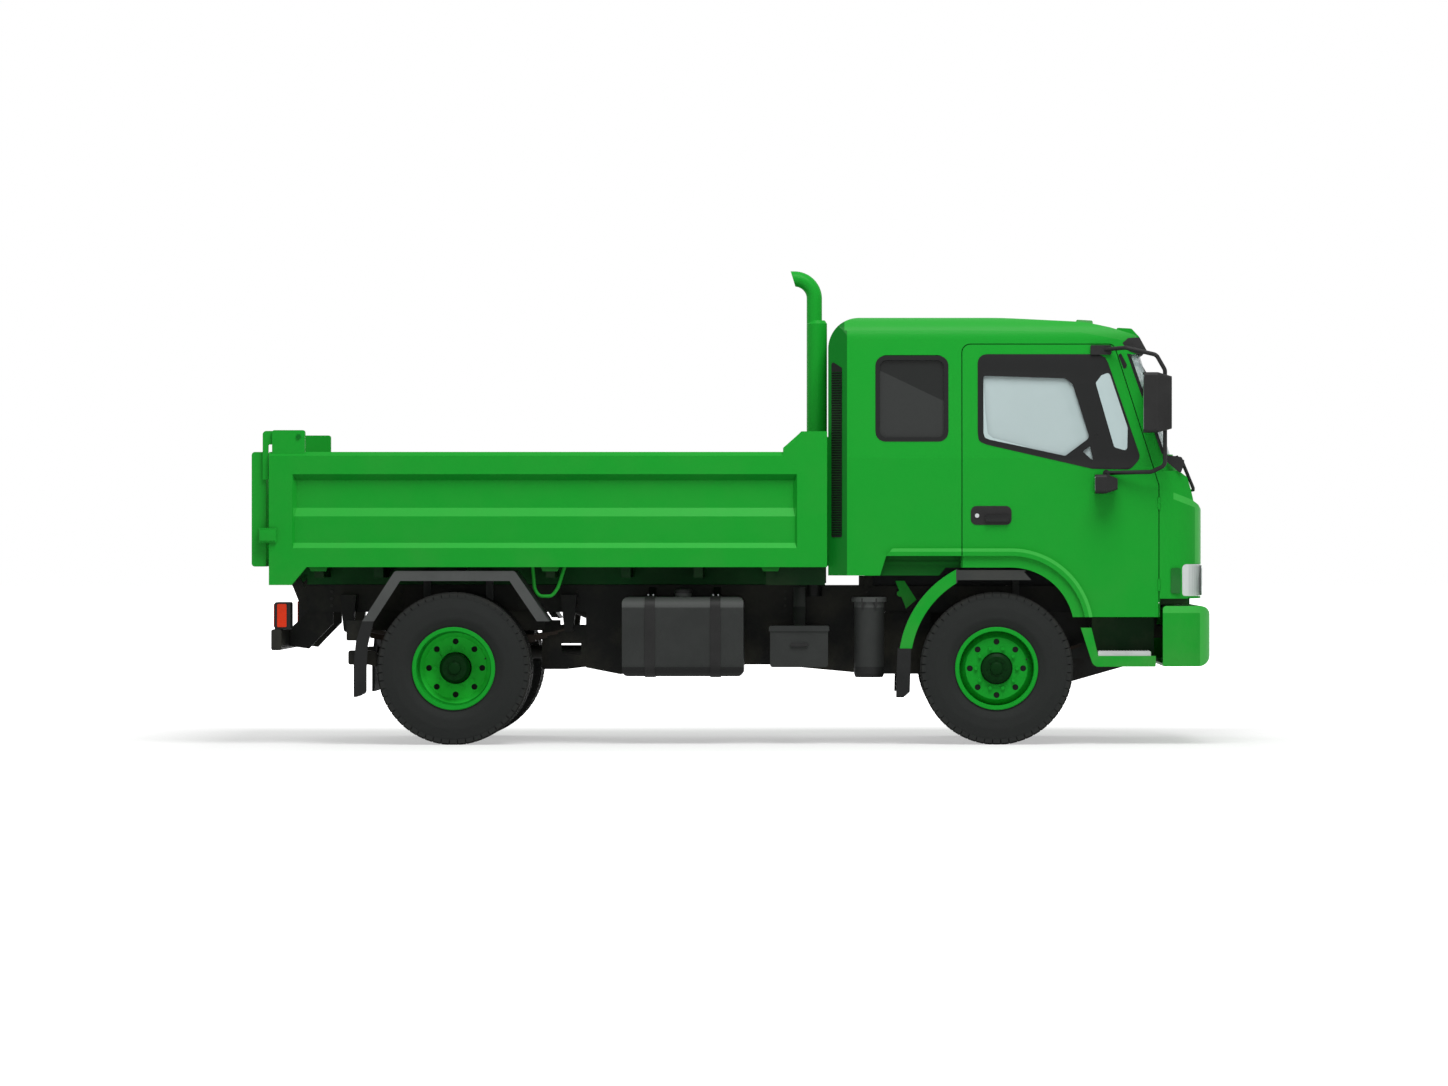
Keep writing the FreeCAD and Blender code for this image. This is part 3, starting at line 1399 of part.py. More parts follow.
def bed():
    floor = box(
        bed_rear,
        headboard_front - headboard_thickness,
        -bed_inner_y,
        bed_inner_y,
        bed_bottom,
        bed_bottom + bed_floor_thickness,
    )
    save("bed_floor", floor)
    board_rear = headboard_front - headboard_thickness
    board = box(board_rear, headboard_front, -bed_inner_y, bed_inner_y, bed_bottom, headboard_top - 56)
    for y0, y1 in ((-960, -400), (-280, 280), (400, 960)):
        panel = prism("yz", [(y0, 1320, 30), (y1, 1320, 30), (y1, 1980, 30), (y0, 1980, 30)], headboard_front - 18, headboard_front + 5)
        board = board.cut(panel)
    save("bed_headboard", board)

    parts = both(box(rail_rear + 5, board_rear + 20, rail_inner_y - 5, rail_y, subframe_bottom, bed_bottom))
    for x, half in CROSS_BEARERS:
        parts.append(box(x - 30, x + 30, -half, half, bed_bottom - 70, bed_bottom))
    skirt_x = CROSS_BEARERS[-1][0] - 30
    parts += both(box(skirt_x, bed_front - 14, bed_inner_y - 42, bed_inner_y - 30, subframe_bottom, bed_bottom))
    rear_bearer = box(bed_rear + 2, bed_rear + 38, -bed_inner_y + 10, bed_inner_y - 10, bed_bottom - 78, bed_bottom)
    parts.append(rear_bearer)
    for low, high in ((rail_inner_y - 20, rail_inner_y + 2), (rail_y - 3, rail_y + 15)):
        lug = fused(
            prism(
                "xz",
                [
                    (bed_rear + 36, bed_bottom),
                    (bed_rear + 36, bed_pin_z),
                    (bed_pin_x + 45, bed_pin_z),
                    (bed_pin_x + 50, bed_bottom - 50),
                    (rail_rear + 60, bed_bottom - 50),
                    (rail_rear + 60, bed_bottom),
                ],
                low,
                high,
            ),
            rod((bed_pin_x, low, bed_pin_z), (bed_pin_x, high, bed_pin_z), 45),
        )
        parts += both(lug)
    pin = rod((bed_pin_x, rail_inner_y - 26, bed_pin_z), (bed_pin_x, rail_y + 21, bed_pin_z), bed_pin_radius)
    parts += both(pin)
    # stringers with the ears that take the cylinder's eye
    rear_x, front_x = CROSS_BEARERS[2][0], CROSS_BEARERS[3][0]
    stringer = box(rear_x, front_x, 84, 104, bed_bottom - 70, bed_bottom)
    ear = fused(
        prism(
            "xz",
            [(lift_eye_x - 90, bed_bottom - 20), (lift_eye_x - 40, lift_eye_z), (lift_eye_x + 40, lift_eye_z), (lift_eye_x + 90, bed_bottom - 20)],
            56,
            104,
        ),
        rod((lift_eye_x, 56, lift_eye_z), (lift_eye_x, 104, lift_eye_z), 40),
    )
    parts += both(stringer) + both(ear)
    save("bed_subframe", fused(*parts))


def tailgate():
    half = gate_arm_y
    thick = 95.0
    low, front = bed_bottom + 3, rear_end + thick
    panel = prism(
        "xz", [(rear_end, low, 22), (front, low, 8), (front, bed_top, 8), (rear_end, bed_top, 22)], -half, half
    )
    for z0, z1 in ((bed_bottom + 110, bed_bottom + 330), (bed_bottom + 430, bed_bottom + 650)):
        for y0, y1 in ((-960, -60), (60, 960)):
            recess = prism(
                "yz", [(y0, z0, 20), (y1, z0, 20), (y1, z1, 20), (y0, z1, 20)], rear_end - 5, rear_end + 28
            )
            panel = panel.cut(recess)
    save("tailgate", panel)
    arm = prism(
        "xz",
        [
            (rear_end + 75, bed_top - 183),
            (rear_end + 113, bed_top - 183),
            (rear_end + 113, gate_pin_z - 51, 8),
            (gate_pin_x - 35, gate_pin_z - 51),
            (gate_pin_x + 30, gate_pin_z - 31, 20),
            (gate_pin_x + 35, gate_pin_z + 39, 25),
            (rear_end + 75, gate_pin_z + 39, 25),
        ],
        gate_arm_y,
        gate_arm_y + gate_arm_thickness,
    ).cut(rod((gate_pin_x, 0, gate_pin_z), (gate_pin_x, 2000, gate_pin_z), 14 + shaft_fit))
    latch_low = bed_bottom + 163
    latch = prism(
        "xy",
        [
            (rear_end + 55, half),
            (rear_end + thick, half),
            (rear_end + thick, bed_y + 5),
            (rear_end + 171, bed_y + 5),
            (rear_end + 171, bed_y + 22, 6),
            (rear_end + 55, bed_y + 22, 6),
        ],
        latch_low,
        latch_low + 96,
    )
    save("tailgate_fittings", *both(arm), *both(latch))


def lift_cylinder():
    """A two-stage tipping cylinder between the frame's pin and the eye under the bed."""
    start = V(lift_pin_x, 0, lift_pin_z)
    way = V(lift_eye_x, 0, lift_eye_z) - start
    closed = way.Length
    way.normalize()

    def along(low, high, radius):
        return Part.makeCylinder(radius, high - low, start + way * low, way)

    barrel_length = closed - 140
    barrel = fused(
        rod((lift_pin_x, -40, lift_pin_z), (lift_pin_x, 40, lift_pin_z), 45),
        along(30, 90, 42),
        along(58, barrel_length, 75),
    )
    barrel = barrel.cut(along(85, barrel_length + 1, 63))
    barrel = barrel.cut(rod((lift_pin_x, -50, lift_pin_z), (lift_pin_x, 50, lift_pin_z), lift_pin_radius + shaft_fit))
    save("lift_barrel", barrel)
    stage = along(95, barrel_length + 40, 62.4).cut(along(110, barrel_length + 41, 48))
    save("lift_stage", stage)
    eye = (lift_eye_x, lift_eye_z)
    save(
        "lift_rod",
        fused(
            along(120, closed - 25, 47),
            rod((eye[0], -40, eye[1]), (eye[0], 40, eye[1]), 44),
            rod((eye[0], -50, eye[1]), (eye[0], 50, eye[1]), 20),
        ),
    )


def main():
    os.makedirs("parts", exist_ok=True)
    chassis_frame()
    leaf_springs()
    front_axle()
    rear_axle()
    knuckles()
    wheels()
    drive_line()
    fuel_tank()
    side_equipment()
    splash_plate()
    exhaust_stack()
    rear_mudguards()
    front_mudguards()
    mud_flaps()
    rear_underrun_bar()
    tail_lamps()
    front_bumper()
    cab_steps()
    cab()
    cab_floor()
    cab_inside()
    mirrors()
    bed()
    bed_sides()
    tailgate()
    lift_cylinder()


main()
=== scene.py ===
"""Finishes a two-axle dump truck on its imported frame: paint, rubber, glass, tread, trim, seats and light.

Sizes are in millimetres until a mesh is made. +X is forward, +Y is the truck's left, +Z is up.
"""

import math

import bmesh
import bpy
from mathutils import Matrix, Vector


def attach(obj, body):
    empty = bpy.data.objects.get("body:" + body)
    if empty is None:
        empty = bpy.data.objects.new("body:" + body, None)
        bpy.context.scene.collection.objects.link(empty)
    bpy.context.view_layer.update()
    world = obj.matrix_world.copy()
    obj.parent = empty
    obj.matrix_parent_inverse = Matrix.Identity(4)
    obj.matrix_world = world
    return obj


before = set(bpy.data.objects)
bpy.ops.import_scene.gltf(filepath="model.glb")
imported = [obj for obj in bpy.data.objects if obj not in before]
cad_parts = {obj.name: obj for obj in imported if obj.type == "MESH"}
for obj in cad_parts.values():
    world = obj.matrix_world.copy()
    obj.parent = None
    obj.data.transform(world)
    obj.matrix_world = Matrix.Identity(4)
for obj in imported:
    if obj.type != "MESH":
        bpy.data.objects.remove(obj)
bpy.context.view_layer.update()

MM = 0.001
AXLE_Z = TYRE_RADIUS = 505.0
FRONT_AXLE, REAR_AXLE = 1760.0, -1840.0
FRONT_WHEEL_Y, REAR_OUTER_Y, REAR_INNER_Y, TWIN_Y = 950.0, 1002.5, 710.5, 856.5
CAB_Y = 1120.0
FRONT_FLAP_Y = CAB_Y - 10
REAR_CORNER = 768.0  # where the cab's rear corners start
CORNER_SLOPE = 56.0 / 126.0
LEAN_START, LEAN = 1900.0, 70.0 / 936.0  # the cab's sides lean in above this height
DRIVER_Y = 640.0
SIDES = (("right", -1), ("left", 1))


# Colours and finishes


def tone(code):
    """A colour written as six hex digits, made linear."""
    parts = [int(code[i : i + 2], 16) / 255 for i in (0, 2, 4)]
    return tuple(c / 12.92 if c <= 0.04045 else ((c + 0.055) / 1.055) ** 2.4 for c in parts) + (1.0,)


class Wire:
    """A socket of a node tree. Sums on it add Math nodes to that tree."""

    def __init__(self, finish, socket):
        self.finish, self.socket = finish, socket

    def math(self, operation, *others, clamp=False):
        node = self.finish.nodes.new("ShaderNodeMath")
        node.operation, node.use_clamp = operation, clamp
        for place, value in zip(node.inputs, (self,) + others):
            self.finish.feed(place, value)
        return Wire(self.finish, node.outputs[0])

    def __add__(self, other):
        return self.math("ADD", other)

    def __sub__(self, other):
        return self.math("SUBTRACT", other)

    def __mul__(self, other):
        return self.math("MULTIPLY", other)

    def __neg__(self):
        return self.math("MULTIPLY", -1.0)

    def __rsub__(self, other):
        return (-self).math("ADD", other)

    __radd__, __rmul__ = __add__, __mul__

    def above(self, level):
        return self.math("GREATER_THAN", level)

    def below(self, level):
        return self.math("LESS_THAN", level)

    def within(self, low, high):
        return self.above(low) * self.below(high)

    def size(self):
        return self.math("ABSOLUTE")

    def ramp(self, low, high):
        """0 at low and below, 1 at high and above."""
        return ((self - low) * (1.0 / (high - low))).math("ADD", 0.0, clamp=True)


class Finish:
    """A material built from named settings of the surface shader."""

    def __init__(self, name):
        self.material = bpy.data.materials.new(name)
        self.material.use_nodes = True
        tree = self.material.node_tree
        self.nodes, self.links = tree.nodes, tree.links
        self.surface = self.nodes["Principled BSDF"]
        self.where = self.node("ShaderNodeTexCoord", output="Object")
        self.axes = self.nodes.new("ShaderNodeSeparateXYZ")
        self.feed(self.axes.inputs[0], self.where)

    def feed(self, socket, value):
        if isinstance(value, Wire):
            self.links.new(value.socket, socket)
        else:
            socket.default_value = value

    def node(self, kind, settings=None, output=0, **values):
        node = self.nodes.new(kind)
        for name, value in (settings or {}).items():
            setattr(node, name, value)
        for name, value in values.items():
            key = int(name[1:]) if name[0] == "_" else name.replace("_", " ")
            self.feed(node.inputs[key], value)
        return Wire(self, node.outputs[output])

    def at(self, axis):
        """The Object coordinate along X, Y or Z, in metres."""
        return Wire(self, self.axes.outputs[axis])

    def noise(self, scale, detail=3.0):
        return self.node("ShaderNodeTexNoise", Vector=self.where, Scale=scale, Detail=detail, Roughness=0.55)

    def mix(self, mask, first, second):
        return self.node("ShaderNodeMix", {"data_type": "RGBA"}, output=2, _0=mask, _6=first, _7=second)

    def bump(self, height, distance):
        normal = self.node("ShaderNodeBump", Height=height, Distance=distance, Strength=1.0)
        self.feed(self.surface.inputs["Normal"], normal)
        return self

    def set(self, **values):
        for name, value in values.items():
            self.feed(self.surface.inputs[name.replace("_", " ")], value)
        return self


DUST = tone("8A8672")
DUSTY, CLEAN = 0.3, 1.4  # dust thins out between these heights, in metres


def paint(name, code, rough=0.42, dust=0.05, marks=()):
    """Sprayed paint: a little dust low down, a faint change of gloss and a fine orange peel.

    marks holds (mask of a finish, colour) pairs for parts in other colours and for painted highlights and
    painted shade.
    """
    f = Finish(name)
    colour = tone(code)
    for mask, other in marks:
        colour = f.mix(mask(f), colour, tone(other))
    low = 1.0 - f.at("Z").ramp(DUSTY, CLEAN)
    patches = f.noise(3.2, 5.0).ramp(0.42, 0.7)
    f.set(Base_Color=f.mix((low * 0.8 + 0.2) * patches * dust, colour, DUST), Specular_IOR_Level=0.08)
    f.set(Roughness=f.noise(7.0) * 0.1 + (rough - 0.05), Coat_Weight=0.02, Coat_Roughness=0.12)
    return f.bump(f.noise(260.0, 1.0), 0.00004)


def plain(name, code, rough, metal=0.0, grain=90.0, depth=0.0001, spread=0.1, second=None):
    """A plain finish with a fine grain and a slight change of tone."""
    f = Finish(name)
    shade = second or code
    f.set(Base_Color=f.mix(f.noise(5.0, 4.0).ramp(0.35, 0.7), tone(code), tone(shade)))
    f.set(Roughness=f.noise(11.0) * spread + (rough - spread / 2), Metallic=metal, Specular_IOR_Level=0.18)
    return f.bump(f.noise(grain, 2.0), depth)


# HIGHLIGHT_GREEN is a painted highlight on bevels that face the light
GREEN, HIGHLIGHT_GREEN, DARK_GREEN = "189B2C", "3CB446", "0A6E1E"
SHADED_GREEN, BLACK = "07300F", "1A1B1B"


# Masks of a finish, 1 where a mark is. Their numbers are places on the truck in metres.


def either(*masks):
    """1 where any of the masks is 1."""
    total = masks[0]
    for mask in masks[1:]:
        total = total + mask
    return total.math("MINIMUM", 1.0)


def aside(f):
    """How far a point stands from the truck's middle."""
    return f.at("Y").size()


def from_side(f):
    """The same, with the lean of the cab's sides taken off."""
    return aside(f) + (f.at("Z") - LEAN_START * MM).math("MAXIMUM", 0.0) * LEAN


def rear_corner_shade(f):
    """The cab's rear corners, which are painted darker as painted shade."""
    return f.at("X").below(REAR_CORNER * MM - 0.0005) * f.at("X").above(0.643) * from_side(f).above(0.9)


def flare_highlight(f):
    """The rounded upper edge of the flares round the wheel arches, on the skin of the cab and doors, painted
    lighter as a painted highlight.
    """
    arch_x, arch_z, inner, outer = 1.853, 0.754, 0.526, 0.5485
    sill_start, sill_foot, sill_top = 1.04, 1.28, 1.3025
    dx, dz = f.at("X") - arch_x, f.at("Z") - arch_z
    ring = (dx * dx + dz * dz).math("SQRT").within(inner, outer) * dx.above(0.0)
    sill = f.at("Z").within(sill_foot, sill_top) * dx.below(0.0) * f.at("X").above(sill_start)
    return either(ring, sill) * aside(f).above(CAB_Y * MM + 0.0005)


def roof_highlight(f):
    """The bevel along the sides of the roof, which drops towards the front in two slopes. It gets a painted
    highlight.
    """
    x = f.at("X")
    rise = f.at("Z")
    for start, slope in ((1.65, 0.018), (2.31, 0.169)):
        rise = rise + (x - start).math("MAXIMUM", 0.0) * slope
    return rise.above(2.748) * f.at("Z").below(2.828) * aside(f).above(0.9) * x.above(0.75)


def nose_highlight(f):
    """The front corners of the cab and the slant over them, which get a painted highlight."""
    corner = f.at("X").above(3.078) * f.at("Z").within(1.2, 1.6) * aside(f).above(0.9)
    slant = (f.at("Z") + f.at("X") * 0.37).within(2.712, 2.756)
    return either(corner, slant * f.at("X").within(2.93, 3.1) * aside(f).above(1.0))


def on_bed_side(f):
    """The pressed middle of the bed's sides."""
    return aside(f).within(1.09, 1.1495) * f.at("X").within(-2.9, 0.43)


def bed_highlight(f):
    """The slopes of the bed's side pressings that face up, painted lighter as a painted highlight."""
    return (f.at("Z").within(1.3045, 1.3385) + f.at("Z").within(1.5145, 1.5705)) * on_bed_side(f)


def bed_shade(f):
    """The slope of the bed's side pressings that faces down, painted darker as painted shade."""
    return f.at("Z").within(1.7525, 1.7935) * on_bed_side(f)


def bumper_highlight(f):
    """The rounded upper edge and front corners of the bumper, which get a painted highlight."""
    return either(f.at("Z").above(0.874), f.at("X").above(3.107) * aside(f).above(0.95))


def window_area(f):
    """The part of a door that lies under the black surround of its window."""
    x, z = f.at("X"), f.at("Z")
    sill = (z + x * 0.229).above(2.395) * (z - x * 0.08).above(1.72)
    return sill * x.above(1.648) * z.below(2.57) * (x + z * 0.339).below(3.352)


def guard_inside(f):
    """All of a front guard but its outer band and the blade of its stay."""
    return either(f.at("X").above(1.49), aside(f).within(0.845, 1.096), aside(f).below(0.82))


def visor_foot(f):
    """The dark lower part of the sun visor."""
    return f.at("Z").below(2.701) * f.at("X").above(2.59)


def door_inside(f):
    """All of a door but its outer skin."""
    return from_side(f).below(1.112)


def step_recess_shade(f):
    """All of a step but its outer face, painted in shaded green as painted shade."""
    return aside(f).below(1.088)


def floor_rim_shade(f):
    """The edge of the cab's floor, which shows over the wheel arch, painted dark green as painted shade."""
    return aside(f).above(1.03) * f.at("Z").within(1.1, 1.31)


def crossbearer_end_shade(f):
    """The outer ends of the members under the bed, painted darker still as painted shade."""
    return aside(f).above(0.5)


def stack_foot(f):
    """The black silencer under the exhaust stack."""
    return f.at("Z").below(1.18)


CAB_MARKS = [
    # painted shade on the cab's rear corners
    (rear_corner_shade, DARK_GREEN),
    # painted highlight on the flares' upper edge
    (flare_highlight, HIGHLIGHT_GREEN),
    # painted highlight along the roof's edge
    (roof_highlight, "2A9E36"),
    # painted highlight on the cab's nose
    (nose_highlight, HIGHLIGHT_GREEN),
]
# painted highlight on the flares' upper edge of the doors
DOOR_MARKS = [(flare_highlight, HIGHLIGHT_GREEN), (window_area, BLACK), (door_inside, "2A2C2C")]
# painted highlight and painted shade on the slopes of the bed's side pressings
BED_MARKS = [(bed_highlight, "2EAC3C"), (bed_shade, "0C8022")]

cab_paint = paint("cab paint", GREEN, marks=CAB_MARKS)
door_paint = paint("door paint", GREEN, marks=DOOR_MARKS)
bed_paint = paint("bed paint", GREEN, dust=0.12)
bed_side_paint = paint("bed side paint", GREEN, dust=0.12, marks=BED_MARKS)
# painted highlight on the bumper's upper edge and corners
bumper_paint = paint("bumper paint", GREEN, dust=0.1, marks=[(bumper_highlight, HIGHLIGHT_GREEN)])
clip_paint = paint("clip paint", DARK_GREEN, rough=0.5, dust=0.2)
# the sub-frame under the bed is painted in the dark green of the shade there, and its members' ends darker
# still: painted shade
subframe_shade_paint = paint("subframe painted shade", "0C4A1C", rough=0.55, dust=0.1, marks=[(crossbearer_end_shade, "062A0E")])
# painted shade: SHADED_GREEN for the grille's recess, the cab's front lip and the vent's slats
shaded_paint = paint("shaded recess paint", SHADED_GREEN, rough=0.5, dust=0.2)
frame_black = paint("frame black", "1E1F1E", rough=0.5, dust=0.2)
visor_paint = paint("visor paint", GREEN, marks=[(visor_foot, "1B1C1C")])
# painted shade on the steps' inner faces
step_paint = paint("step paint", GREEN, rough=0.5, dust=0.15, marks=[(step_recess_shade, SHADED_GREEN)])
# painted shade on the edge of the cab's floor over the arch
floor_lining = paint("cab floor lining", "2A2C2D", rough=0.7, marks=[(floor_rim_shade, "0A5A1A")])
guard_paint = paint("guard paint", GREEN, rough=0.5, dust=0.15, marks=[(guard_inside, "3C3E3D")])
stack_paint = paint("stack paint", GREEN, dust=0.02, marks=[(stack_foot, BLACK)])
trim_plastic = plain("trim plastic", "1E1E1E", 0.5, grain=320.0, depth=0.00006, second="262626")
gloss_black = plain("gloss black", BLACK, 0.3, grain=40.0, depth=0.0)
vent_black = plain("vent black", "0A0F0B", 0.7)
smoked_lens = plain("smoked lens", "0F6A20", 0.15, depth=0.0)
grey_plastic = plain("guard grey", "4F5150", 0.55, grain=260.0, second="474948")
cast_metal = plain("cast metal", "333534", 0.6, metal=0.4, grain=70.0, depth=0.0004, second="2A2622")
spring_steel = plain("spring steel", "2B2A28", 0.55, metal=0.5, grain=120.0, second="3A2F27")
bright_steel = plain("bright steel", "B4B8BA", 0.3, metal=1.0, grain=160.0, depth=0.00003)
rod_chrome = plain("rod chrome", "C8CCCE", 0.1, metal=1.0, depth=0.0, spread=0.04)
flap_rubber = plain("flap rubber", "1C1D1D", 0.75, grain=150.0, depth=0.0004, second="242525")
cab_lining = plain("cab lining", "34373A", 0.75, grain=300.0, depth=0.0001, second="2C2F32")
lamp_silver = plain("lamp silver", "D5D9D8", 0.25, metal=0.3, depth=0.0)
pale_tread = plain("pale tread", "C8CCCA", 0.5, metal=0.2, grain=90.0, second="B4B8B6")
plate_white = plain("plate white", "D8D9D6", 0.45)


def from_axle(f):
    """1 at the front axle and 0 at the rear one, and how far a point stands from the nearer axle's line."""
    front = f.at("X").above(0.0)
    dx = f.at("X") - (front * ((FRONT_AXLE - REAR_AXLE) * MM) + REAR_AXLE * MM)
    dz = f.at("Z") - AXLE_Z * MM
    return front, (dx * dx + dz * dz).math("SQRT")


def tyre_rubber():
    """Tyre rubber with fine rings on the walls and a dusty tread."""
    f = Finish("tyre rubber")
    front, radius = from_axle(f)
    crown = radius.ramp(0.478, 0.498)
    f.set(Base_Color=f.mix(crown * f.noise(9.0).ramp(0.3, 0.8) * 0.5, tone("282A29"), tone("373632")))
    f.set(Roughness=f.noise(14.0) * 0.12 + 0.66, Specular_IOR_Level=0.12)
    rings = (radius * 900.0).math("SINE") * radius.within(0.30, 0.46)
    return f.bump(rings * 0.6 + f.noise(180.0, 2.0) * 0.4, 0.0006)


def wheel_enamel():
    """Green wheels with a dark greasy hub. The rear discs stand far in and are painted brighter, a painted
    light against the shade of their dish.
    """
    f = Finish("wheel enamel")
    front, radius = from_axle(f)
    hub = radius.below(0.1055)
    # painted light: the rear discs brighter to undo the shade of their deep dish
    rear_disc_light = (1.0 - front) * radius.below(0.235)
    green = f.mix(f.noise(4.0, 4.0).ramp(0.45, 0.8) * 0.25, tone(GREEN), tone("1A8A28"))
    f.set(Base_Color=f.mix(hub, f.mix(rear_disc_light, green, tone("34E04A")), tone("042C0A")))
    f.set(Roughness=f.noise(9.0) * 0.1 + 0.4, Specular_IOR_Level=0.06)
    return f.bump(f.noise(200.0, 2.0), 0.0001)


def tail_lamp_finish():
    """A black housing with red lenses standing out of its side and rear."""
    f = Finish("tail lamp")
    lens = either(aside(f).above(1.0602), f.at("X").below(-3.0305))
    f.set(Base_Color=f.mix(lens, tone("1B1C1C"), tone("DC340C")))
    f.set(Roughness=0.5 - lens * 0.2, Specular_IOR_Level=0.2)
    ribs = (f.at("Z") * 420.0).math("SINE") * lens
    return f.bump(ribs * 0.5, 0.0006)


def cab_lamp_finish():
    """Pale fluted headlamps low down and green-tinted marker lamps on the roof."""
    f = Finish("cab lamp")
    high = f.at("Z").above(2.0)
    f.set(Base_Color=f.mix(high, tone("D2D7D6"), tone("2E9A38")), Roughness=0.22)
    f.set(Coat_Weight=0.8, Coat_Roughness=0.05)
    flutes = (f.at("Y") * 300.0).math("SINE") * (1.0 - high)
    return f.bump(flutes * 0.4, 0.0006)


def door_pane():
    """Pale door glass, a little smeared."""
    f = Finish("door glass")
    smear = f.noise(2.5, 4.0).ramp(0.4, 0.8)
    f.set(Base_Color=tone("C8DADA"), Alpha=smear * 0.06 + 0.6, Roughness=smear * 0.05 + 0.06)
    f.set(Coat_Weight=0.15, Coat_Roughness=0.03, Specular_IOR_Level=0.3)
    return f


def cab_pane():
    """Pale windscreen glass; the sleeper's side panes, behind the doors, are dark, and darker still above a
    slanting line.
    """
    f = Finish("cab glass")
    dark = f.at("X").below(1.6)
    slant_split = (f.at("Z") + f.at("X") * 0.48).above(2.955) * dark
    shade = f.mix(dark, tone("C0D2D2"), f.mix(slant_split, tone("343635"), tone("232524")))
    f.set(Base_Color=shade, Alpha=dark * 0.55 + 0.42, Roughness=f.noise(2.5, 4.0) * 0.05 + 0.08)
    f.set(Coat_Weight=0.05, Coat_Roughness=0.03, Specular_IOR_Level=0.15)
    return f


def woven(name, code, second, scale=420.0):
    """Seat cloth: a plain weave with soft mottling."""
    f = Finish(name)
    weave = (f.at("Y") * scale).math("SINE") * (f.at("Z") * scale + f.at("X") * scale).math("SINE")
    f.set(Base_Color=f.mix(f.noise(24.0).ramp(0.3, 0.7), tone(code), tone(second)))
    f.set(Roughness=f.noise(30.0) * 0.1 + 0.8)
    return f.bump(weave * 0.5 + f.noise(90.0) * 0.3, 0.0005)


def tank_shell():
    """Dark tank sheet, lighter along its top edge and darker at its foot."""
    f = Finish("tank shell")
    high, low = f.at("Z").ramp(0.905, 0.915), f.at("Z").below(0.515)
    body = f.mix(f.noise(5.0, 4.0).ramp(0.35, 0.7), tone("292B2A"), tone("2F3130"))
    f.set(Base_Color=f.mix(low, f.mix(high, body, tone("484A49")), tone("1C1D1D")))
    f.set(Roughness=f.noise(11.0) * 0.1 + 0.5, Specular_IOR_Level=0.18)
    return f.bump(f.noise(45.0, 2.0), 0.0002)


tank_metal = tank_shell()
tyre_finish = tyre_rubber()
wheel_finish = wheel_enamel()
tail_finish = tail_lamp_finish()
lamp_finish = cab_lamp_finish()
cab_glass = cab_pane()
door_glass = door_pane()
quarter_glass = plain("quarter light", "B4C6C6", 0.12, depth=0.0, second="B8C9C9")
mirror_glass = plain("mirror glass", "7C8285", 0.04, metal=1.0, depth=0.0, spread=0.02)
seat_cloth = woven("seat cloth", "2A2F33", "22262A")
seat_panel = woven("seat panel cloth", "4A5054", "3F4548", 260.0)

NODE_FINISH = {
    "chassis_frame": frame_black,
    "front_bumper": bumper_paint,
    "rear_underrun_bar": frame_black,
    "tail_lamps": tail_finish,
    "fuel_tank": tank_metal,
    "fuel_tank_brackets": trim_plastic,
    "battery_box": tank_metal,
    "air_reservoirs": frame_black,
    "air_cleaner": tank_metal,
    "splash_plate": frame_black,
    "exhaust_stack": stack_paint,
    "rear_mudguards": grey_plastic,
    "front_mudguards": guard_paint,
    "mud_flaps": flap_rubber,
    "cab_steps": step_paint,
    "engine": cast_metal,
    "propeller_shaft": cast_metal,
    "front_axle": frame_black,
    "rear_axle": frame_black,
    "leaf_springs": spring_steel,
    "cab_shell": cab_paint,
    "cab_floor": floor_lining,
    "front_panel": cab_paint,
    "cab_glass": cab_glass,
    "sun_visor": visor_paint,
    "cab_lamps": lamp_finish,
    "seats": seat_cloth,
    "dashboard": cab_lining,
    "cowl_bar": trim_plastic,
    "steering_wheel": trim_plastic,
    "left_door": door_paint,
    "right_door": door_paint,
    "left_door_glass": door_glass,
    "right_door_glass": door_glass,
    "left_mirrors": trim_plastic,
    "right_mirrors": trim_plastic,
    "bed_floor": bed_paint,
    "bed_sides": bed_side_paint,
    "bed_headboard": bed_paint,
    "bed_subframe": subframe_shade_paint,
    "tailgate": bed_paint,
    "tailgate_fittings": bed_paint,
    "lift_barrel": frame_black,
    "lift_stage": rod_chrome,
    "lift_rod": rod_chrome,
    "left_knuckle": cast_metal,
    "right_knuckle": cast_metal,
    "tie_rod": frame_black,
}
for name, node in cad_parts.items():
    if name.endswith(("tyre", "tyres")):
        finish = tyre_finish
    elif name.endswith(("wheel", "wheels")) and name != "steering_wheel":
        finish = wheel_finish
    else:
        finish = NODE_FINISH[name]
    node.data.materials.clear()
    node.data.materials.append(finish.material)


# Making pieces

CORNER_STEPS = 5
LOWEST_CREASE = 0.6  # radians; a slab's edges that turn less than this get no bevel


def settle(name, mesh, body, finish, smooth=None):
    """Puts a mesh in the scene as a finished piece that rides on a body."""
    piece = bpy.data.objects.new(name, mesh)
    bpy.context.scene.collection.objects.link(piece)
    mesh.materials.append(finish.material)
    if smooth:
        mesh.shade_smooth()
        mesh.set_sharp_from_angle(angle=math.radians(smooth))
    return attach(piece, body)


def rounded(corners):
    """(a, b, radius) corners as points, each radius turned by short runs."""
    points = []
    for i, corner in enumerate(corners):
        radius = corner[2] if len(corner) > 2 else 0
        p = Vector(corner[:2])
        if not radius:
            points.append(p)
            continue
        u = (Vector(corners[i - 1][:2]) - p).normalized()
        w = (Vector(corners[(i + 1) % len(corners)][:2]) - p).normalized()
        half = u.angle(w) / 2
        run = radius / math.tan(half)
        centre = p + (u + w).normalized() * (radius / math.sin(half))
        start, end = p + u * run - centre, p + w * run - centre
        turn = start.angle_signed(end)
        for k in range(CORNER_STEPS + 1):
            points.append(centre + Matrix.Rotation(-turn * k / CORNER_STEPS, 2) @ start)
    return points


PLANE = {
    "xz": lambda a, b, level: (a, level, b),
    "yz": lambda a, b, level: (level, a, b),
    "xy": lambda a, b, level: (a, b, level),
}


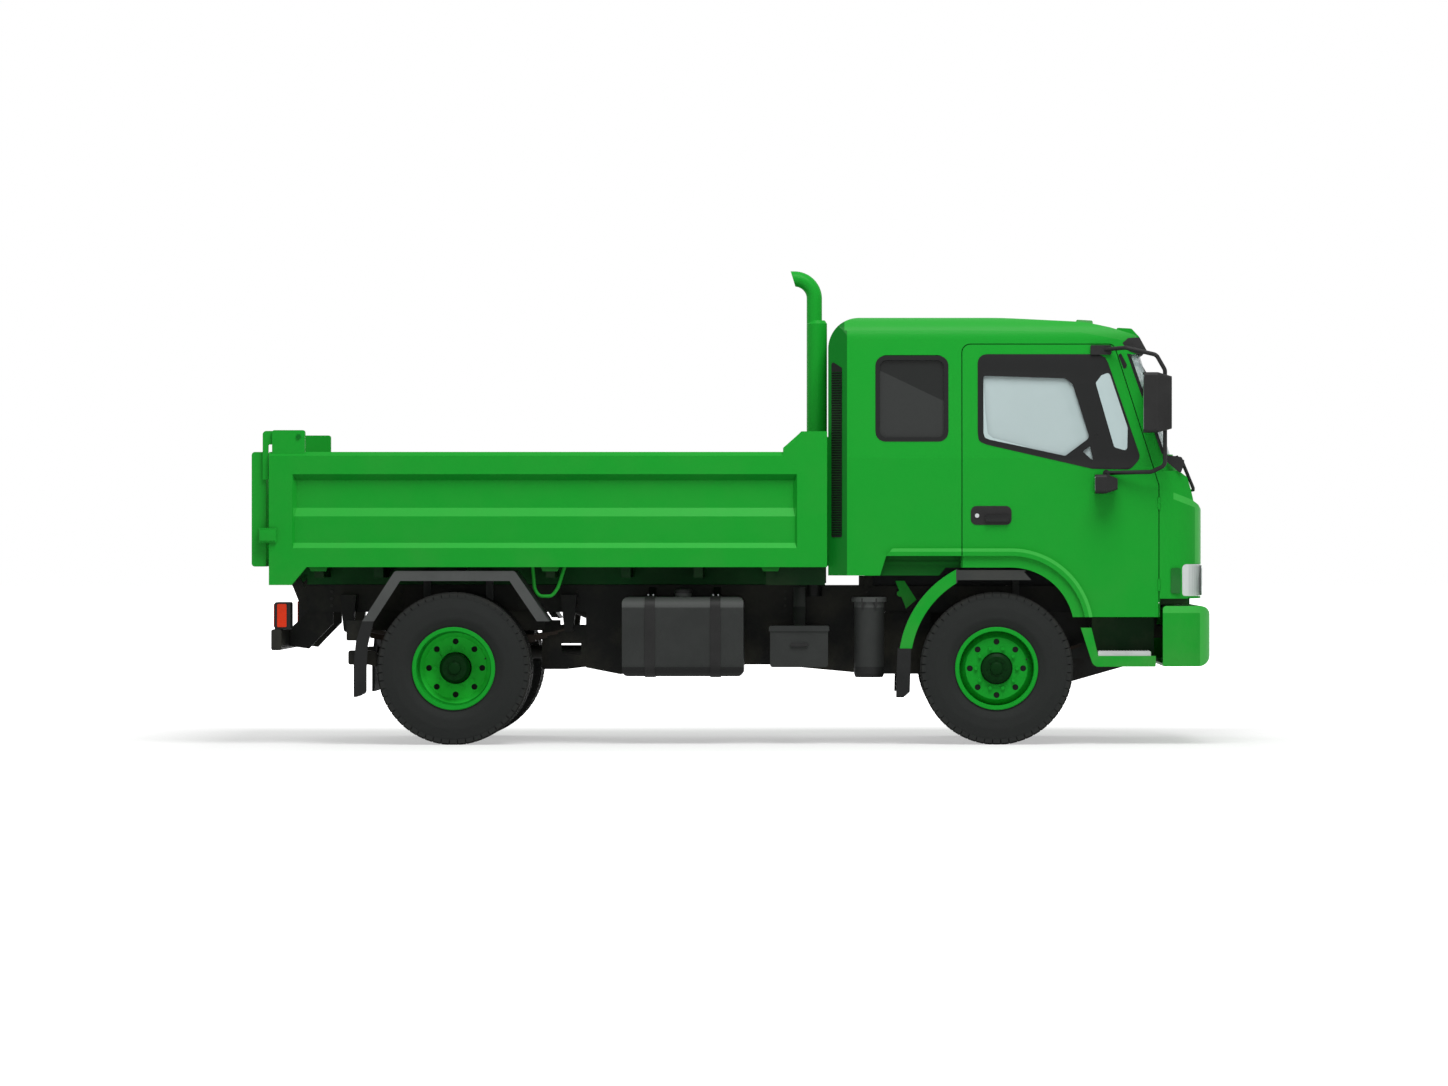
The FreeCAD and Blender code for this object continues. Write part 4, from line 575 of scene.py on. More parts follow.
def slab(name, body, finish, plane, corners, low, high, bevel=0.0, lean=0, holes=()):
    """A flat piece with a rounded outline and holes. lean 1 or -1 follows the cab's left or right side."""
    flat = bmesh.new()
    edges = []
    for loop in (corners,) + tuple(holes):
        ring = [flat.verts.new((p.x, p.y, 0)) for p in rounded(loop)]
        edges += [flat.edges.new((a, b)) for a, b in zip(ring, ring[1:] + ring[:1])]
    bmesh.ops.triangle_fill(flat, use_beauty=True, use_dissolve=False, edges=edges)
    if not holes:
        bmesh.ops.dissolve_limit(flat, angle_limit=0.01, verts=flat.verts, edges=flat.edges)
    if lean:
        geometry = flat.verts[:] + flat.edges[:] + flat.faces[:]
        bmesh.ops.bisect_plane(flat, geom=geometry, plane_co=(0, LEAN_START, 0), plane_no=(0, 1, 0))
    made = bmesh.ops.extrude_face_region(flat, geom=flat.faces[:])
    moved = [v for v in made["geom"] if isinstance(v, bmesh.types.BMVert)]
    for v in moved:
        v.co.z = 1
    for v in flat.verts:
        a, b, level = v.co.x, v.co.y, low if v.co.z < 0.5 else high
        x, y, z = PLANE[plane](a, b, level)
        if lean and z > LEAN_START:
            y -= lean * (z - LEAN_START) * LEAN
        v.co = Vector((x, y, z)) * MM
    bmesh.ops.recalc_face_normals(flat, faces=flat.faces)
    if bevel:
        rims = [e for e in flat.edges if len(e.link_faces) == 2 and e.calc_face_angle(0) > LOWEST_CREASE]
        bmesh.ops.bevel(flat, geom=rims, offset=bevel * MM, segments=2, profile=0.7, affect="EDGES")
    mesh = bpy.data.meshes.new(name)
    flat.to_mesh(mesh)
    flat.free()
    return settle(name, mesh, body, finish, 35)


def rectangle(a0, a1, b0, b1, radius=0):
    """The corners of a rectangle, all with one radius."""
    return [(a0, b0, radius), (a1, b0, radius), (a1, b1, radius), (a0, b1, radius)]


def side_span(side, inner, outer):
    """The y range of a piece on one side, from its distances out from the middle."""
    return (inner, outer) if side > 0 else (-outer, -inner)


def both_sides(name, body, finish, corners, inner, outer, bevel, lean=False, holes=()):
    """The same slab on the right and on the left. A {} in the body's name takes the side's name."""
    for where, side in SIDES:
        low, high = side_span(side, inner, outer)
        lean_side = side if lean else 0
        slab(f"{where}_{name}", body.format(where), finish, "xz", corners, low, high, bevel, lean_side, holes)


AXIS_TURN = {
    "Z": Matrix(),
    "Y": Matrix.Rotation(-math.pi / 2, 4, "X"),
    "X": Matrix.Rotation(math.pi / 2, 4, "Y"),
}


def lathe(name, body, finish, profile, centre, axis="Y", steps=48):
    """A turned piece from (along, radius) points; the ends of the profile lie on the axis or meet."""
    made = bmesh.new()
    loop = [made.verts.new((radius, 0, along)) for along, radius in profile]
    edges = [made.edges.new((a, b)) for a, b in zip(loop, loop[1:] + loop[:1])]
    ring = dict(cent=(0, 0, 0), axis=(0, 0, 1), angle=2 * math.pi, steps=steps, use_merge=True)
    bmesh.ops.spin(made, geom=loop + edges, **ring)
    bmesh.ops.remove_doubles(made, verts=made.verts, dist=0.001)
    place = Matrix.Scale(MM, 4) @ Matrix.Translation(centre) @ AXIS_TURN[axis]
    bmesh.ops.transform(made, matrix=place, verts=made.verts)
    bmesh.ops.dissolve_degenerate(made, dist=1e-7, edges=made.edges)
    bmesh.ops.recalc_face_normals(made, faces=made.faces)
    mesh = bpy.data.meshes.new(name)
    made.to_mesh(mesh)
    made.free()
    return settle(name, mesh, body, finish, 40)


def pipe(name, body, finish, points, radius, bend=0.0):
    """A round bar or hose through points, with its corners bent."""
    curve = bpy.data.curves.new(name, "CURVE")
    curve.dimensions = "3D"
    curve.bevel_depth, curve.bevel_resolution, curve.use_fill_caps = radius * MM, 3, True
    path = []
    for i, p in enumerate(points):
        p = Vector(p)
        if bend and 0 < i < len(points) - 1:
            before, after = Vector(points[i - 1]), Vector(points[i + 1])
            run = min(bend, (before - p).length * 0.45, (after - p).length * 0.45)
            start, end = p + (before - p).normalized() * run, p + (after - p).normalized() * run
            path += [start.lerp(p, t).lerp(p.lerp(end, t), t) for t in (0, 0.25, 0.5, 0.75, 1)]
        else:
            path.append(p)
    spline = curve.splines.new("POLY")
    spline.points.add(len(path) - 1)
    for point, p in zip(spline.points, path):
        point.co = (*(p * MM), 1)
    carrier = bpy.data.objects.new(name + " line", curve)
    bpy.context.scene.collection.objects.link(carrier)
    mesh = bpy.data.meshes.new_from_object(carrier.evaluated_get(bpy.context.evaluated_depsgraph_get()))
    bpy.data.objects.remove(carrier)
    mesh.name = name
    return settle(name, mesh, body, finish, 50)


# Repeats


def repeat_tree(name, shape, along_ring):
    """A tree that sets one small shape along a line, or round a ring whose axis is Y."""
    tree = bpy.data.node_groups.new(name, "GeometryNodeTree")
    tree.is_modifier = True
    add = tree.nodes.new
    face = tree.interface
    sizes = (
        ("Count", "NodeSocketInt"),
        ("Centre", "NodeSocketVector"),
        ("Step", "NodeSocketVector"),
        ("Ring Radius", "NodeSocketFloat"),
        ("Size", "NodeSocketVector"),
        ("Turn", "NodeSocketVector"),
        ("Material", "NodeSocketMaterial"),
    )
    for title, kind in sizes:
        face.new_socket(title, in_out="INPUT", socket_type=kind)
    face.new_socket("Geometry", in_out="OUTPUT", socket_type="NodeSocketGeometry")
    enter, leave = add("NodeGroupInput"), add("NodeGroupOutput")
    link = tree.links.new
    split = add("ShaderNodeSeparateXYZ")
    link(enter.outputs["Size"], split.inputs[0])
    if shape == "block":
        unit = add("GeometryNodeMeshCube")
        link(enter.outputs["Size"], unit.inputs["Size"])
    else:
        unit = add("GeometryNodeMeshCylinder")
        unit.inputs["Vertices"].default_value = 6
        link(split.outputs["X"], unit.inputs["Radius"])
        link(split.outputs["Y"], unit.inputs["Depth"])
    spread = add("GeometryNodeInstanceOnPoints")
    turned = add("GeometryNodeTransform")
    link(unit.outputs["Mesh"], turned.inputs["Geometry"])
    link(enter.outputs["Turn"], turned.inputs["Rotation"])
    link(turned.outputs["Geometry"], spread.inputs["Instance"])
    if along_ring:
        ring = add("GeometryNodeMeshCircle")
        link(enter.outputs["Count"], ring.inputs["Vertices"])
        link(enter.outputs["Ring Radius"], ring.inputs["Radius"])
        upright = add("GeometryNodeTransform")
        upright.inputs["Rotation"].default_value = (math.pi / 2, 0, 0)
        link(ring.outputs["Mesh"], upright.inputs["Geometry"])
        where = add("GeometryNodeInputPosition")
        aim = add("FunctionNodeAlignRotationToVector")
        aim.axis, aim.pivot_axis = "X", "Y"
        link(where.outputs[0], aim.inputs["Vector"])
        link(upright.outputs["Geometry"], spread.inputs["Points"])
        link(aim.outputs[0], spread.inputs["Rotation"])
    else:
        line = add("GeometryNodeMeshLine")
        link(enter.outputs["Count"], line.inputs["Count"])
        link(enter.outputs["Step"], line.inputs["Offset"])
        link(line.outputs["Mesh"], spread.inputs["Points"])
    moved = add("GeometryNodeTransform")
    link(spread.outputs["Instances"], moved.inputs["Geometry"])
    link(enter.outputs["Centre"], moved.inputs["Translation"])
    real = add("GeometryNodeRealizeInstances")
    link(moved.outputs["Geometry"], real.inputs["Geometry"])
    coat = add("GeometryNodeSetMaterial")
    link(real.outputs["Geometry"], coat.inputs["Geometry"])
    link(enter.outputs["Material"], coat.inputs["Material"])
    link(coat.outputs["Geometry"], leave.inputs["Geometry"])
    return tree


TREES = {
    (shape, ring): repeat_tree(f"{shape} {'ring' if ring else 'row'}", shape, ring)
    for shape in ("block", "nut")
    for ring in (True, False)
}


def repeat(name, body, finish, shape, runs):
    """One piece from runs of a repeated shape. Each run is a dict of the tree's inputs, in millimetres."""
    joined = bmesh.new()
    for run in runs:
        tree = TREES[shape, "radius" in run]
        carrier = bpy.data.objects.new("carrier", bpy.data.meshes.new("carrier"))
        bpy.context.scene.collection.objects.link(carrier)
        modifier = carrier.modifiers.new("repeat", "NODES")
        modifier.node_group = tree
        values = {
            "Count": run["count"],
            "Centre": [v * MM for v in run["at"]],
            "Step": [v * MM for v in run.get("step", (0, 0, 0))],
            "Ring Radius": run.get("radius", 0.0) * MM,
            "Size": [v * MM for v in run["size"]],
            "Turn": run.get("turn", (0.0, 0.0, 0.0)),
            "Material": finish.material,
        }
        for item in tree.interface.items_tree:
            if item.in_out == "INPUT":
                modifier[item.identifier] = values[item.name]
        carrier.update_tag()
        mesh = bpy.data.meshes.new_from_object(carrier.evaluated_get(bpy.context.evaluated_depsgraph_get()))
        bpy.data.objects.remove(carrier)
        joined.from_mesh(mesh)
        bpy.data.meshes.remove(mesh)
    bmesh.ops.recalc_face_normals(joined, faces=joined.faces)
    mesh = bpy.data.meshes.new(name)
    joined.to_mesh(mesh)
    joined.free()
    return settle(name, mesh, body, finish)


ALONG_Y = (math.pi / 2, 0.0, 0.0)  # turns a cylinder's axis from Z to Y


# Tyres and wheels

SHOULDER_LUGS, CENTRE_BLOCKS = 56, 72
FILLED = 0.84  # of the pitch between two blocks
TREAD_FOOT = TYRE_RADIUS - 8  # the blocks stand on this radius, inside the tyre
TREAD_ROWS = (
    # offset from the tyre's middle, width, depth, count
    (-80, 36, 10, SHOULDER_LUGS),
    (80, 36, 10, SHOULDER_LUGS),
    (-27, 34, 8, CENTRE_BLOCKS),
    (27, 34, 8, CENTRE_BLOCKS),
)
WALL_LUG_Y, WALL_LUG_RADIUS = 112.69, 482


def tread_runs(x, y):
    """Shoulder lugs, two centre ribs of blocks and the lugs' ends on the walls, round one tyre."""
    runs = []
    for offset, width, depth, count in TREAD_ROWS:
        length = 2 * math.pi * TYRE_RADIUS / count * FILLED
        middle = TREAD_FOOT + depth / 2
        runs.append(dict(count=count, at=(x, y + offset, AXLE_Z), radius=middle, size=(depth, width, length)))
    for offset in (-WALL_LUG_Y, WALL_LUG_Y):
        place = (x, y + offset, AXLE_Z)
        runs.append(dict(count=SHOULDER_LUGS, at=place, radius=WALL_LUG_RADIUS, size=(28, 12, 46)))
    return runs


FRONT_FACES = (FRONT_WHEEL_Y + 60, FRONT_WHEEL_Y + 102)
REAR_FACES = (TWIN_Y + 12, TWIN_Y + 160)
WHEELS = (
    # end of the truck, last word of the body's name, axle, y of the tyres, y of the disc's and the hub's face
    ("front", "wheel", FRONT_AXLE, (FRONT_WHEEL_Y,), FRONT_FACES),
    ("rear", "wheels", REAR_AXLE, (REAR_OUTER_Y, REAR_INNER_Y), REAR_FACES),
)
VENT_INNER, VENT_OUTER = 150, 204
NUT_CIRCLE, HUB_BOLT_CIRCLE = 137, 62


def finish_wheel(place, body, x, side, tyre_ys, disc_y, hub_y):
    """Tread, nuts, a dark ring behind the disc's holes as painted shade, hub bolts, hub cap and valve of one
    wheel or pair.
    """
    face, hub_face = side * disc_y, side * hub_y
    tread = [run for y in tyre_ys for run in tread_runs(x, side * y)]
    repeat(f"{place}_tread", body, tyre_finish, "block", tread)
    nuts = dict(count=10, at=(x, face + side * 9, AXLE_Z), radius=NUT_CIRCLE, size=(13, 18, 0), turn=ALONG_Y)
    repeat(f"{place}_wheel_nuts", body, wheel_finish, "nut", [nuts])
    # a dark ring behind the disc's holes stands for the shade there: painted shade
    vent = [(0, VENT_INNER), (side * 2, VENT_INNER), (side * 2, VENT_OUTER), (0, VENT_OUTER)]
    lathe(f"{place}_vent_shade", body, vent_black, vent, (x, face - side * 7, AXLE_Z))
    seat = (x, hub_face + side * 2, AXLE_Z)
    bolts = dict(count=8, at=seat, radius=HUB_BOLT_CIRCLE, size=(8, 10, 0), turn=ALONG_Y)
    repeat(f"{place}_hub_bolts", body, wheel_finish, "nut", [bolts])
    cap = [(0, 0), (0, 44), (side * 14, 40), (side * 20, 28), (side * 20, 0)]
    lathe(f"{place}_hub_cap", body, wheel_finish, cap, (x, hub_face - side, AXLE_Z))
    stem = [(x + 195, face - side * 20, AXLE_Z + 60), (x + 200, face + side * 25, AXLE_Z + 62)]
    pipe(f"{place}_valve", body, trim_plastic, stem, 5)


for end, kind, x, tyre_ys, faces in WHEELS:
    for where, side in SIDES:
        finish_wheel(f"{end}_{where}", f"{end}_{where}_{kind}", x, side, tyre_ys, *faces)


# Flat pieces that stand on both sides

WINDOW_SURROUND = [
    (1633, 2069),
    (1640, 2011, 40),
    (1697, 1988, 30),
    (2391, 1829, 30),
    (2644, 1824, 60),
    (2714, 1900, 60),
    (2480, 2590, 90),
    (1633, 2590, 60),
]
MAIN_LIGHT = [
    (1672, 2069),
    (1680, 2036, 20),
    (1714, 2022),
    (2213, 1915, 20),
    (2374, 2035, 30),
    (2264, 2390, 20),
    (2213, 2429, 30),
    (1672, 2446, 12),
]
QUARTER_LIGHT = [
    (2454, 2450, 10),
    (2416, 2399, 20),
    (2538, 1972, 20),
    (2624, 1947, 20),
    (2627, 2103, 30),
    (2506, 2470, 20),
]
STEERING_LIGHT = [(2328, 1944, 6), (2378, 1980, 4), (2398, 1882, 4)]
WINDOW_LIGHTS = (MAIN_LIGHT, QUARTER_LIGHT, STEERING_LIGHT)
PANE_EDGE = [
    (1672, 2405),
    (1672, 2069),
    (1680, 2036, 20),
    (1714, 2022),
    (1955, 1971),
    (1955, 1976),
    (1735, 2034),
    (1700, 2062, 20),
    (1685, 2200),
]
DOOR_SEAL = [
    (1510, 1320),
    (1510, 2676, 76),
    (2551, 2676, 62),
    (2853, 1724, 56),
    (2853, 1320),
    (2821, 1320),
    (2821, 1718, 24),
    (2529, 2644, 30),
    (1542, 2644, 44),
    (1542, 1320),
]
SLEEPER_RIM = rectangle(955, 1440, 2009, 2580, 66)
SLEEPER_LIGHT = rectangle(985, 1410, 2039, 2550, 44)
HANDLE_PLATE = rectangle(1587, 1858, 1457, 1583, 38)
HANDLE_GRIP = [(1680, 1478, 20), (1845, 1478, 20), (1845, 1530, 18), (1680, 1520, 18)]
PILLAR_SLOT = [(2566, 2583, 8), (2583, 2598, 8), (2624, 2520, 12), (2618, 2491, 12), (2600, 2497, 10)]
SCREEN_STRIP = [(2624, 2592), (2646, 2592), (2875, 1927), (2853, 1927)]
VISOR_END = [(2594, 2664), (2630, 2697, 10), (2708, 2702, 10), (2757, 2611, 8), (2722, 2578), (2640, 2610)]
COWL_CORNER = [(2878, 1921, 6), (2984, 1908, 14), (3003, 1868, 8), (2978, 1797, 10), (2880, 1880, 10)]
SILL_TRIM = [(1534, 1262), (1534, 1300), (1640, 1300), (1640, 1262)]
INDICATOR = rectangle(2912, 2978, 1003, 1172, 12)
FRONT_LIP = [(2842, 930, 6), (2842, 1010), (2980, 1010), (2980, 976), (3040, 976), (3040, 928, 12)]
STEP_TREAD = [(2430, 588, 4), (2781, 588, 4), (2781, 621, 8), (2430, 621, 8)]
FLAP_SIDE = [(1095, 315, 6), (1150, 321, 12), (1184, 352, 14), (1192, 637), (1103, 637)]
REST_PAD = rectangle(-2850, -2700, 1049, 1062)
FLAP_BRACKET = [(-2565, 688, 8), (-2440, 688), (-2400, 821), (-2565, 821, 8)]
FLAP_BAR = [(-2553, 528, 14), (-2553, 622, 14), (-2420, 622), (-2362, 610), (-2362, 516), (-2420, 528)]
LATCH_COVER = rectangle(-3120, -3014, 1352, 1426, 8)

DOOR, CAB, CHASSIS = "{}_door", "cab", "chassis"
SIDE_PIECES = (
    # name, body, finish, outline, y of its inner and outer face, bevel, whether it leans, holes
    ("window_surround", DOOR, gloss_black, WINDOW_SURROUND, CAB_Y - 17, CAB_Y + 2, 1.5, True, WINDOW_LIGHTS),
    ("quarter_pane", DOOR, quarter_glass, QUARTER_LIGHT, CAB_Y - 0.5, CAB_Y + 1, 0, True),
    ("pane_edge", DOOR, quarter_glass, PANE_EDGE, CAB_Y - 0.5, CAB_Y + 1, 0, True),
    ("handle_plate", DOOR, trim_plastic, HANDLE_PLATE, CAB_Y - 0.5, CAB_Y + 3, 1.5),
    ("handle_grip", DOOR, gloss_black, HANDLE_GRIP, CAB_Y + 2, CAB_Y + 30, 4),
    ("sill_trim", DOOR, cab_paint, SILL_TRIM, CAB_Y - 1, CAB_Y + 5, 2),
    ("sleeper_rim", CAB, gloss_black, SLEEPER_RIM, CAB_Y - 17, CAB_Y + 2, 1.5, True, (SLEEPER_LIGHT,)),
    ("pillar_slot", CAB, gloss_black, PILLAR_SLOT, CAB_Y - 1, CAB_Y + 2, 0.5, True),
    ("door_seal", CAB, trim_plastic, DOOR_SEAL, CAB_Y - 63, CAB_Y - 57, 0, True),
    ("screen_strip", CAB, gloss_black, SCREEN_STRIP, CAB_Y - 1, CAB_Y + 2.5, 0.5, True),
    ("visor_end", CAB, trim_plastic, VISOR_END, CAB_Y - 100, CAB_Y + 4, 2, True),
    ("cowl_corner", CAB, trim_plastic, COWL_CORNER, CAB_Y - 1, CAB_Y + 3, 1, True),
    ("indicator", CAB, smoked_lens, INDICATOR, CAB_Y - 1, CAB_Y + 4, 2),
    # painted shade on the cab's front lip
    ("front_lip", CAB, shaded_paint, FRONT_LIP, 1058, 1066, 1),
    ("step_tread", CHASSIS, pale_tread, STEP_TREAD, 885, CAB_Y - 6, 2),
    ("front_flap_side", CHASSIS, flap_rubber, FLAP_SIDE, FRONT_FLAP_Y, FRONT_FLAP_Y + 3, 1),
    ("rest_pad", CHASSIS, flap_rubber, REST_PAD, 364, 426, 1),
    ("flap_bracket", CHASSIS, frame_black, FLAP_BRACKET, 820, 905, 3),
    ("flap_bar", CHASSIS, frame_black, FLAP_BAR, 820, 905, 3),
    ("latch_cover", "tailgate", bed_paint, LATCH_COVER, 1170, 1180, 3),
)
for row in SIDE_PIECES:
    both_sides(*row)
for k, x in enumerate((-2735, -1200, 261)):
    clip = [(x - 60, 1178), (x - 50, 1150, 8), (x + 50, 1150, 8), (x + 60, 1178)]
    both_sides(f"bed_clip_{k}", "bed", clip_paint, clip, 1078, 1120, 2)


# Flat pieces that stand once

NUMBER_PLATE = (-260, 260)
SPLASH_END = [(-1285, 489), (-1121, 489), (-985, 505), (-985, 789), (-1159, 789), (-1159, 820), (-1285, 820)]
SPLASH_SLOT = [(-1153, 590), (-1022, 583), (-1022, 662), (-1153, 662)]
BINNACLE = [(2570, 1868), (2560, 1935, 25), (2680, 1925, 25), (2720, 1868)]
SINGLE_PIECES = (
    # name, body, finish, plane, outline, its two levels, bevel, lean, holes
    # painted shade in the grille's recess
    ("grille_recess", CAB, shaded_paint, "yz", rectangle(-620, 620, 1180, 1500, 30), 3119, 3126, 2),
    ("front_plate", CHASSIS, plate_white, "yz", rectangle(*NUMBER_PLATE, 640, 750, 8), 3178, 3183, 1),
    ("rear_plate", CHASSIS, plate_white, "yz", rectangle(*NUMBER_PLATE, 650, 750, 8), -3056, -3050, 1),
    ("dash_binnacle", CAB, trim_plastic, "xz", BINNACLE, 480, 800, 4),
    ("dash_dials", CAB, gloss_black, "yz", rectangle(505, 775, 1880, 1922, 8), 2556, 2562, 1),
    ("dash_centre_panel", CAB, gloss_black, "yz", rectangle(-180, 220, 1600, 1820, 14), 2528, 2540, 2),
    ("battery_handle", CHASSIS, trim_plastic, "xz", rectangle(390, 510, 650, 672, 10), -1066, -1048, 3),
    # dark plates under the body, put where the body's shade lies as painted shade: the splash plate's two
    # ends, over the rear springs, and under the cab's rear
    ("splash_apron", CHASSIS, frame_black, "xz", rectangle(1015, 1330, 458, 872), -447, -443, 1),
    ("splash_rear_end", CHASSIS, frame_black, "xz", SPLASH_END, -431, -427, 1, 0, (SPLASH_SLOT,)),
    ("rear_apron", CHASSIS, frame_black, "xz", rectangle(-2420, -1262, 750, 880), -447, -443, 1),
    ("cab_mount_plate", CHASSIS, frame_black, "xz", rectangle(885, 940, 1040, 1128), -441, -437, 1),
)
for row in SINGLE_PIECES:
    slab(*row)


# Doors and the cab's outside

MIRRORS = (
    # name, x of the glass, y, lowest and highest point
    ("main", FRONT_AXLE + 963, CAB_Y + 150, 2082, 2448),
    ("wide", FRONT_AXLE + 645, CAB_Y + 95, 1676, 1778),
)
MIRROR_HALF = 82
VENT = [(664, 1375, 12), (734, 1375, 12), (734, 2500, 12), (664, 2545, 12)]
VENT_X, SLAT_PITCH = 699, 16.5
for where, side in SIDES:
    door = f"{where}_door"
    lock = [(0, 0), (0, 15), (side * 8, 14), (side * 8, 0)]
    lathe(f"{door}_lock", door, bright_steel, lock, (1629, side * (CAB_Y + 2), 1519), steps=24)
    for part, x, out, z0, z1 in MIRRORS:
        glass = rectangle(side * out - MIRROR_HALF, side * out + MIRROR_HALF, z0, z1, 16)
        slab(f"{where}_{part}_mirror_glass", door, mirror_glass, "yz", glass, x - 1, x + 1.5, 0.4)

    # the slatted vent on the cab's rear corner, which slopes in
    low, high = side_span(side, CAB_Y - 2, CAB_Y + 3)
    backing = slab(f"{where}_vent_back", CAB, vent_black, "xz", VENT, low, high, 0, side)
    for v in backing.data.vertices:
        v.co.y -= side * (REAR_CORNER * MM - v.co.x) * CORNER_SLOPE
    out = side * (CAB_Y + 5 - (REAR_CORNER - VENT_X) * CORNER_SLOPE)
    slat = dict(size=(70, 8, 5), turn=(side * 0.5, 0.0, side * math.atan(CORNER_SLOPE)))
    leaning = (0, -side * SLAT_PITCH * LEAN, SLAT_PITCH)
    slats = [
        dict(count=31, at=(VENT_X, out, 1396), step=(0, 0, SLAT_PITCH), **slat),
        dict(count=35, at=(VENT_X, out, 1908), step=leaning, **slat),
    ]
    # the slats are painted in shaded green: painted shade
    repeat(f"{where}_vent_slats", CAB, shaded_paint, "block", slats)

    # lamps; the lens ends short of the panel's corner on the left
    low, high = side_span(side, 810, 1075)
    if side > 0:
        high -= 20
    lens = rectangle(low, high, 990, 1190, 24)
    slab(f"{where}_headlamp_lens", CAB, lamp_silver, "yz", lens, 3119, 3122.5, 1)
    ring = [(0, 56), (2, 58), (3, 70), (0, 74)]
    lathe(f"{where}_headlamp_ring", CAB, bright_steel, ring, (3121, side * 900, 1088), "X")
    low, high = side_span(side, 560, 740)
    slab(f"{where}_fog_lamp", CHASSIS, lamp_silver, "yz", rectangle(low, high, 600, 680, 20), 3178, 3184, 2)

    ribs = [dict(count=17, at=(2446, side * 1000, 622), step=(20, 0, 0), size=(7, 190, 5))]
    repeat(f"{where}_step_ribs", CHASSIS, pale_tread, "block", ribs)
    grip = [(3002, side * 860, 1876), (3076, side * 860, 1697)]
    pipe(f"cowl_grip_{where}", CAB, trim_plastic, grip, 12)

for name, y in (("wiper_right", -640), ("wiper_middle", 30), ("wiper_left", 640)):
    arm = [(3004, y, 1893), (2985, y - 40, 1904), (2966, y - 230, 1912)]
    pipe(f"{name}_arm", CAB, trim_plastic, arm, 6, 20)
    pipe(f"{name}_blade", CAB, trim_plastic, [(2961, y - 400, 1914), (2961, y + 90, 1914)], 5)
grille = dict(count=9, at=(3130, 0, 1204), step=(0, 0, 34), size=(14, 1190, 16), turn=(0.0, 0.25, 0.0))
repeat("grille_slats", CAB, trim_plastic, "block", [grille])


# Cab inside: padded covers, pedals and gear lever

PAD_CUTS = 5
PAD_SIDE, PAD_CROWN, PAD_RIM = 0.8, 0.2, 0.62  # shares of a pad's thickness, the crown's on top of the side's


def cushion(name, body, finish, x0, x1, y0, y1, z0, z1, tilt):
    """A stuffed pad: a block with soft edges and a swollen middle."""
    made = bmesh.new()
    bmesh.ops.create_cube(made, size=1.0)
    bmesh.ops.subdivide_edges(made, edges=made.edges[:], cuts=PAD_CUTS, use_grid_fill=True)
    centre = Vector(((x0 + x1) / 2, (y0 + y1) / 2, (z0 + z1) / 2))
    size = Vector((x1 - x0, y1 - y0, z1 - z0))
    thin = min(range(3), key=lambda k: size[k])
    for v in made.verts:
        edge = [1 - (2 * abs(v.co[k])) ** 2 for k in range(3) if k != thin]
        v.co = Vector(v.co[k] * size[k] for k in range(3))
        v.co[thin] *= PAD_SIDE + PAD_CROWN * (edge[0] * edge[1]) ** 0.4 if min(edge) > 0 else PAD_RIM
    turn = Matrix.Translation(centre) @ Matrix.Rotation(tilt, 4, "Y")
    bmesh.ops.transform(made, matrix=Matrix.Scale(MM, 4) @ turn, verts=made.verts)
    mesh = bpy.data.meshes.new(name)
    made.to_mesh(mesh)
    made.free()
    piece = settle(name, mesh, body, finish, 180)
    soft = piece.modifiers.new("soft", "SUBSURF")
    soft.levels = soft.render_levels = 2
    return piece


for seat, y in (("driver", DRIVER_Y), ("passenger", -DRIVER_Y)):
    cushion(f"{seat}_cushion_cover", CAB, seat_panel, 1745, 2140, y - 190, y + 190, 1575, 1640, 0.03)
    cushion(f"{seat}_back_cover", CAB, seat_panel, 1672, 1732, y - 175, y + 175, 1640, 2150, -0.18)
    cushion(f"{seat}_head_cover", CAB, seat_cloth, 1600, 1668, y - 120, y + 120, 2205, 2350, -0.1)
for pedal, y in (("throttle", 560), ("brake", 640), ("clutch", 730)):
    pad = rectangle(y - 28, y + 28, 1290, 1370, 8)
    slab(f"{pedal}_pedal", CAB, flap_rubber, "yz", pad, 2560, 2572, 2)
    pipe(f"{pedal}_stem", CAB, trim_plastic, [(2572, y, 1340), (2600, y, 1480), (2600, y, 1560)], 9, 30)
pipe("gear_lever", CAB, trim_plastic, [(2250, 120, 1398), (2200, 150, 1640)], 9)
knob = [(0, 0), (0, 14), (20, 26), (45, 24), (58, 10), (58, 0)]
lathe("gear_knob", CAB, gloss_black, knob, (2200, 150, 1636), "Z", 24)


# Chassis details

RAIL_BOLTS_X = (-2700, -2230, -1900, -1450, -1050, -150, 350, 900, 1250, 1500, 2020, 2500, 2700)
RAIL_FACE = 434
rail_bolts = [
    dict(count=3, at=(x, side * RAIL_FACE, 915), step=(0, 0, 48), size=(11, 12, 0), turn=ALONG_Y)
    for side in (-1, 1)
    for x in RAIL_BOLTS_X
]
repeat("rail_bolts", CHASSIS, cast_metal, "nut", rail_bolts)
strap_bolts = [dict(count=2, at=(x, -825, 983), step=(34, 0, 0), size=(7, 26, 0)) for x in (-558, -125)]
repeat("tank_strap_bolts", CHASSIS, bright_steel, "nut", strap_bolts)
cap = [(0, 0), (0, 60), (14, 62), (26, 56), (30, 40), (30, 0)]
lathe("tank_cap", CHASSIS, trim_plastic, cap, (-323, -910, 1004), "Z")
cleaner_clips = dict(count=2, at=(870, -1033, 940), step=(88, 0, 0), size=(16, 10, 60))
repeat("air_cleaner_clips", CHASSIS, trim_plastic, "block", [cleaner_clips])

